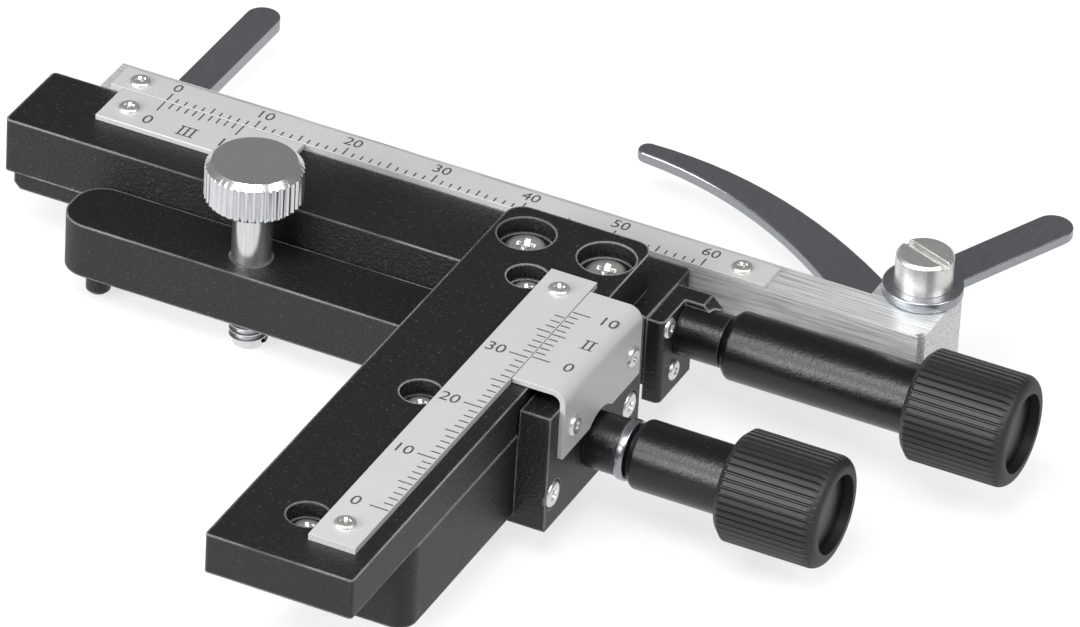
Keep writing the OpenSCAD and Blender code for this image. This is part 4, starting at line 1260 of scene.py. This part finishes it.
@dataclass
class Stage:
    """The whole object, piece by piece.

    Attributes:
    """

    frame: dict

    def rounded(self) -> None:
        """Rounds every machined piece whose solid stays."""
        # each node's edge in millimetres, and the steps across it
        rows = {
            (Body.BASE, Slot.ENAMEL): {
                "mounting_bar": (0.4, 3), "guide_block": (0.2, 3), "side_bracket": (0.2, 3),
                "y_bush": (0.15, 3),
            },
            (Body.BASE, Slot.NICKEL): {"y_washer": (0.2, 3)},
            (Body.BASE, Slot.PLATE): {"vernier_two": (0.12, 3)},
            (Body.CARRIAGE, Slot.ENAMEL): {
                "arm_plate": (0.35, 3), "cross_bar": (0.4, 3), "keeper": (0.2, 3),
                "bearing_plate": (0.2, 3), "x_bush": (0.15, 3),
            },
            (Body.CARRIAGE, Slot.PLATE): {"y_ruler": (0.08, 3), "vernier_three": (0.08, 3)},
            (Body.HOLDER, Slot.PLATE): {"x_ruler": (0.08, 3)},
            (Body.HOLDER, Slot.BAR): {"slide_bar": (0.2, 3)},
            (Body.HOLDER, Slot.STEEL): {"fixed_finger": (0.45, 4)},
            (Body.CLIP, Slot.STEEL): {"clip_lever": (0.55, 5), "clip_finger": (0.4, 4)},
            (Body.CLIP, Slot.NICKEL): {"pivot_pin": (0.15, 3)},
            (Body.NEAR_KNOB, Slot.ENAMEL): {"y_sleeve": (0.25, 3)},
            (Body.FAR_KNOB, Slot.ENAMEL): {"x_sleeve": (0.25, 3)},
            (Body.NEAR_KNOB, Slot.KNOB): {"y_knob": (0.08, 2), "y_knob_cap": (0.15, 3)},
            (Body.FAR_KNOB, Slot.KNOB): {"x_knob": (0.08, 2), "x_knob_cap": (0.15, 3)},
        }
        for (body, slot), edges in rows.items():
            for node, (edge_mm, segments) in edges.items():
                piece = machined(self.frame["nodes"][node], edge_mm, segments)
                piece.name = f"{node}_rounded"
                finish = NODE_FINISH.get(node, SLOT_FINISH[slot])
                dress(piece, body, material_of(finish), node)
                LOG.info("rounded %s", node)

    def clamp(self) -> None:
        """Cuts the clamp's thread and flutes its head."""
        ClampHead().build(material_of(CHROME))
        ClampStud().build(material_of(CHROME))
        LOG.info("made the clamp screw")

    def screws(self) -> None:
        """Models the cross-recess screws."""
        # each with the height of its head in millimetres
        rows = [
            (CrossScrew("plate_screws", Body.CARRIAGE, UP, 10), 1.3),
            (CrossScrew("arm_screws", Body.CARRIAGE, UP, 35), 0.9),
            (CrossScrew("y_ruler_screws", Body.CARRIAGE, UP, 25), 0.8),
            (CrossScrew("vernier_three_screws", Body.CARRIAGE, UP, 15), 0.8),
            (CrossScrew("x_ruler_screws", Body.HOLDER, UP, 40), 0.8),
            (CrossScrew("bearing_screws", Body.CARRIAGE, RIGHT, 15), 0.7),
            (CrossScrew("bracket_screws", Body.BASE, RIGHT, 30), 0.9),
            (CrossScrew("vernier_two_screws", Body.BASE, RIGHT, 10), 0.8),
        ]
        for screw, seat in rows:
            screw.build(self.frame, material_of(NICKEL), seat * MM)
            LOG.info("crossed %s", screw.node)

    def scales(self) -> None:
        """Prints the four scales."""
        tens = {tick: str(tick) for tick in range(0, 61, 10)}
        # the ink's height above the plate, and its distance from the plate's edge
        lift, inset = 0.004, 0.1
        # plate, print, body, the zero mark's corner of the plate (0 low, 1 high) and way from it,
        # direction of the numbers and of the marks, divisions and their length,
        # marks' lengths, labels, their distance from the edge and their height, all in millimetres
        rows = [
            ("y_ruler", "print_arm_ruler", Body.CARRIAGE, (1, 0), (-inset, 7.12), AWAY, -RIGHT,
             38, 1, (1.0, 1.5, 2.0), {tick: tens[tick] for tick in (0, 10, 20, 30)}, 3.5, 1.55),
            ("vernier_two", "print_vernier_two", Body.BASE, (0, 0), (inset, 4.15), AWAY, RIGHT,
             10, 0.9, (1.0, 1.4, 1.9), {0: "0", 5: "II", 10: "10"}, 3.9, 1.55),
            ("vernier_three", "print_vernier_three", Body.CARRIAGE, (0, 1), (5.0, -inset), RIGHT, -AWAY,
             10, 0.9, (1.0, 1.4, 1.9), {0: "0", 5: "III", 10: "10"}, 3.9, 1.6),
            ("x_ruler", "print_bar_ruler", Body.HOLDER, (0, 0), (6.4, inset), RIGHT, AWAY,
             60, 1, (0.75, 1.1, 1.4), tens, 2.5, 1.45),
        ]
        for row in rows:
            plate, name, body, corner, way, along, marks_to, *rest = row
            count, step, lengths, labels, out, tall = rest
            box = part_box(plate)
            across = [box[corner[axis]][axis] + way[axis] * MM for axis in (0, 1)]
            zero = Vector((*across, box[1][2] + lift * MM))
            marks = tuple(length * MM for length in lengths)
            Scale(
                name, body, zero, along, marks_to, count, step * MM, marks, labels, out * MM, tall * MM
            ).build(material_of(INK))
        LOG.info("printed the scales")

    def hidden(self) -> None:
        """Gives the inner solids, which stay as they are, their finishes."""
        slots = {row["node"]: Slot(row["material_slot"]) for row in self.frame["record"]["subparts"]}
        for name, solid in self.frame["nodes"].items():
            solid.data.materials.clear()
            solid.data.materials.append(material_of(SLOT_FINISH[slots[name]]))

    def build(self) -> None:
        """Builds every piece."""
        self.hidden()
        self.rounded()
        self.clamp()
        self.screws()
        self.scales()


# ---- Studio ----


@dataclass(frozen=True)
class Camera:
    """The photograph's camera, fitted on the printed scales.

    Attributes:
        azimuth: Degrees from the front towards the right.
        elevation: Degrees above the horizon.
        roll: Turn about the line of sight in degrees.
        lens: Focal length in millimetres.
        sensor: Width of the sensor in millimetres.
        distance: Distance to the aim in metres.
        aim: The point in the middle of the picture.
    """

    azimuth: float = 24.206
    elevation: float = 33.689
    roll: float = 3.381
    lens: float = 328.33
    sensor: float = 36.0
    distance: float = 1.0
    aim: Point = (22.442 * MM, 21.191 * MM, -5.545 * MM)

    def build(self) -> None:
        """Adds the camera."""
        side = math.radians(self.azimuth)
        back = direction(self.azimuth, self.elevation)
        right = Vector((math.cos(side), math.sin(side), 0))
        up = back.cross(right)
        spin = math.radians(self.roll)
        x_axis = right * math.cos(spin) + up * math.sin(spin)
        y_axis = up * math.cos(spin) - right * math.sin(spin)
        turn = Matrix((x_axis, y_axis, back)).transposed().to_4x4()
        data = bpy.data.cameras.new("photograph_view")
        data.lens = self.lens
        data.sensor_width = self.sensor
        data.sensor_fit = "HORIZONTAL"
        data.clip_start = 0.05
        data.clip_end = 10
        camera = bpy.data.objects.new("photograph_view", data)
        bpy.context.scene.collection.objects.link(camera)
        camera.matrix_world = Matrix.Translation(Vector(self.aim) + back * self.distance) @ turn
        bpy.context.scene.camera = camera


@dataclass(frozen=True)
class Softbox:
    """A soft studio lamp that points at the object.

    Attributes:
        name: Its name.
        azimuth: Degrees from the front towards the right.
        elevation: Degrees above the horizon.
        size: Width and height in metres.
        power: Its power in watts.
        distance: Distance from the object in metres.
    """

    name: str
    azimuth: float
    elevation: float
    size: tuple[float, float]
    power: float
    distance: float = 0.7

    def build(self, aim: Vector) -> None:
        """Adds the lamp.

        Args:
            aim: What it points at.
        """
        back = direction(self.azimuth, self.elevation)
        data = bpy.data.lights.new(self.name, "AREA")
        data.shape = "RECTANGLE"
        data.size, data.size_y = self.size
        data.energy = self.power
        lamp = bpy.data.objects.new(self.name, data)
        bpy.context.scene.collection.objects.link(lamp)
        lamp.location = aim + back * self.distance
        lamp.rotation_euler = back.to_track_quat("Z", "Y").to_euler()


@dataclass
class Studio:
    """White floor, soft lamps and the camera.

    Attributes:
        floor_z: Height of the floor.
        aim: What the lamps point at.
        floor_w: Width of the floor in metres.
        air: Brightness of the surround in reflections and shadows.
    """

    floor_z: float
    aim: Vector
    floor_w: float = 6.0
    air: float = 0.2

    def floor(self) -> None:
        """Lays the floor."""
        deselect()
        bpy.ops.mesh.primitive_plane_add(size=self.floor_w, location=(0, 0, self.floor_z))
        floor = bpy.context.object
        floor.name = "studio_floor"
        settle(floor)
        floor.data.materials.append(Floor("white_studio_paper", "#8f8f8f", 0.9).build())
        floor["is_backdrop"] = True

    def world(self) -> None:
        """Sets an even pale surround, white where the camera sees it."""
        world = bpy.data.worlds.new("studio_air")
        bpy.context.scene.world = world
        world.use_nodes = True
        tree = world.node_tree
        back = tree.nodes["Background"]
        back.inputs["Color"].default_value = WHITE
        back.inputs["Strength"].default_value = self.air
        white = add_node(tree, "ShaderNodeBackground", values={"Color": WHITE, "Strength": 1})
        rays = add_node(tree, "ShaderNodeLightPath")
        mix = add_node(
            tree,
            "ShaderNodeMixShader",
            links={
                "0": rays.outputs["Is Camera Ray"],
                "1": back.outputs["Background"],
                "2": white.outputs["Background"],
            },
        )
        tree.links.new(mix.outputs["Shader"], tree.nodes["World Output"].inputs["Surface"])

    def build(self) -> None:
        """Builds the studio."""
        self.floor()
        self.world()
        # the high one lights the tops, the low one at the left the front faces
        for lamp in (
            Softbox("front_high_silk", 5, 58, (0.5, 0.28), 5.0),
            Softbox("front_left_window", -35, 22, (0.5, 0.3), 5.5),
            Softbox("right_window", 85, 38, (0.35, 0.35), 2.5),
        ):
            lamp.build(self.aim)
        Camera().build()
        LOG.info("built the studio")


def main() -> None:
    logging.basicConfig(level=logging.INFO, format="%(name)s: %(message)s")
    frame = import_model()
    solid_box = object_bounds()
    low, high = (Vector(corner) for corner in solid_box)
    Stage(frame).build()
    Studio(low.z, (low + high) / 2).build()
    bpy.context.scene.view_settings.view_transform = "Standard"
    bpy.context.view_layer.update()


if __name__ == "__main__":
    main()
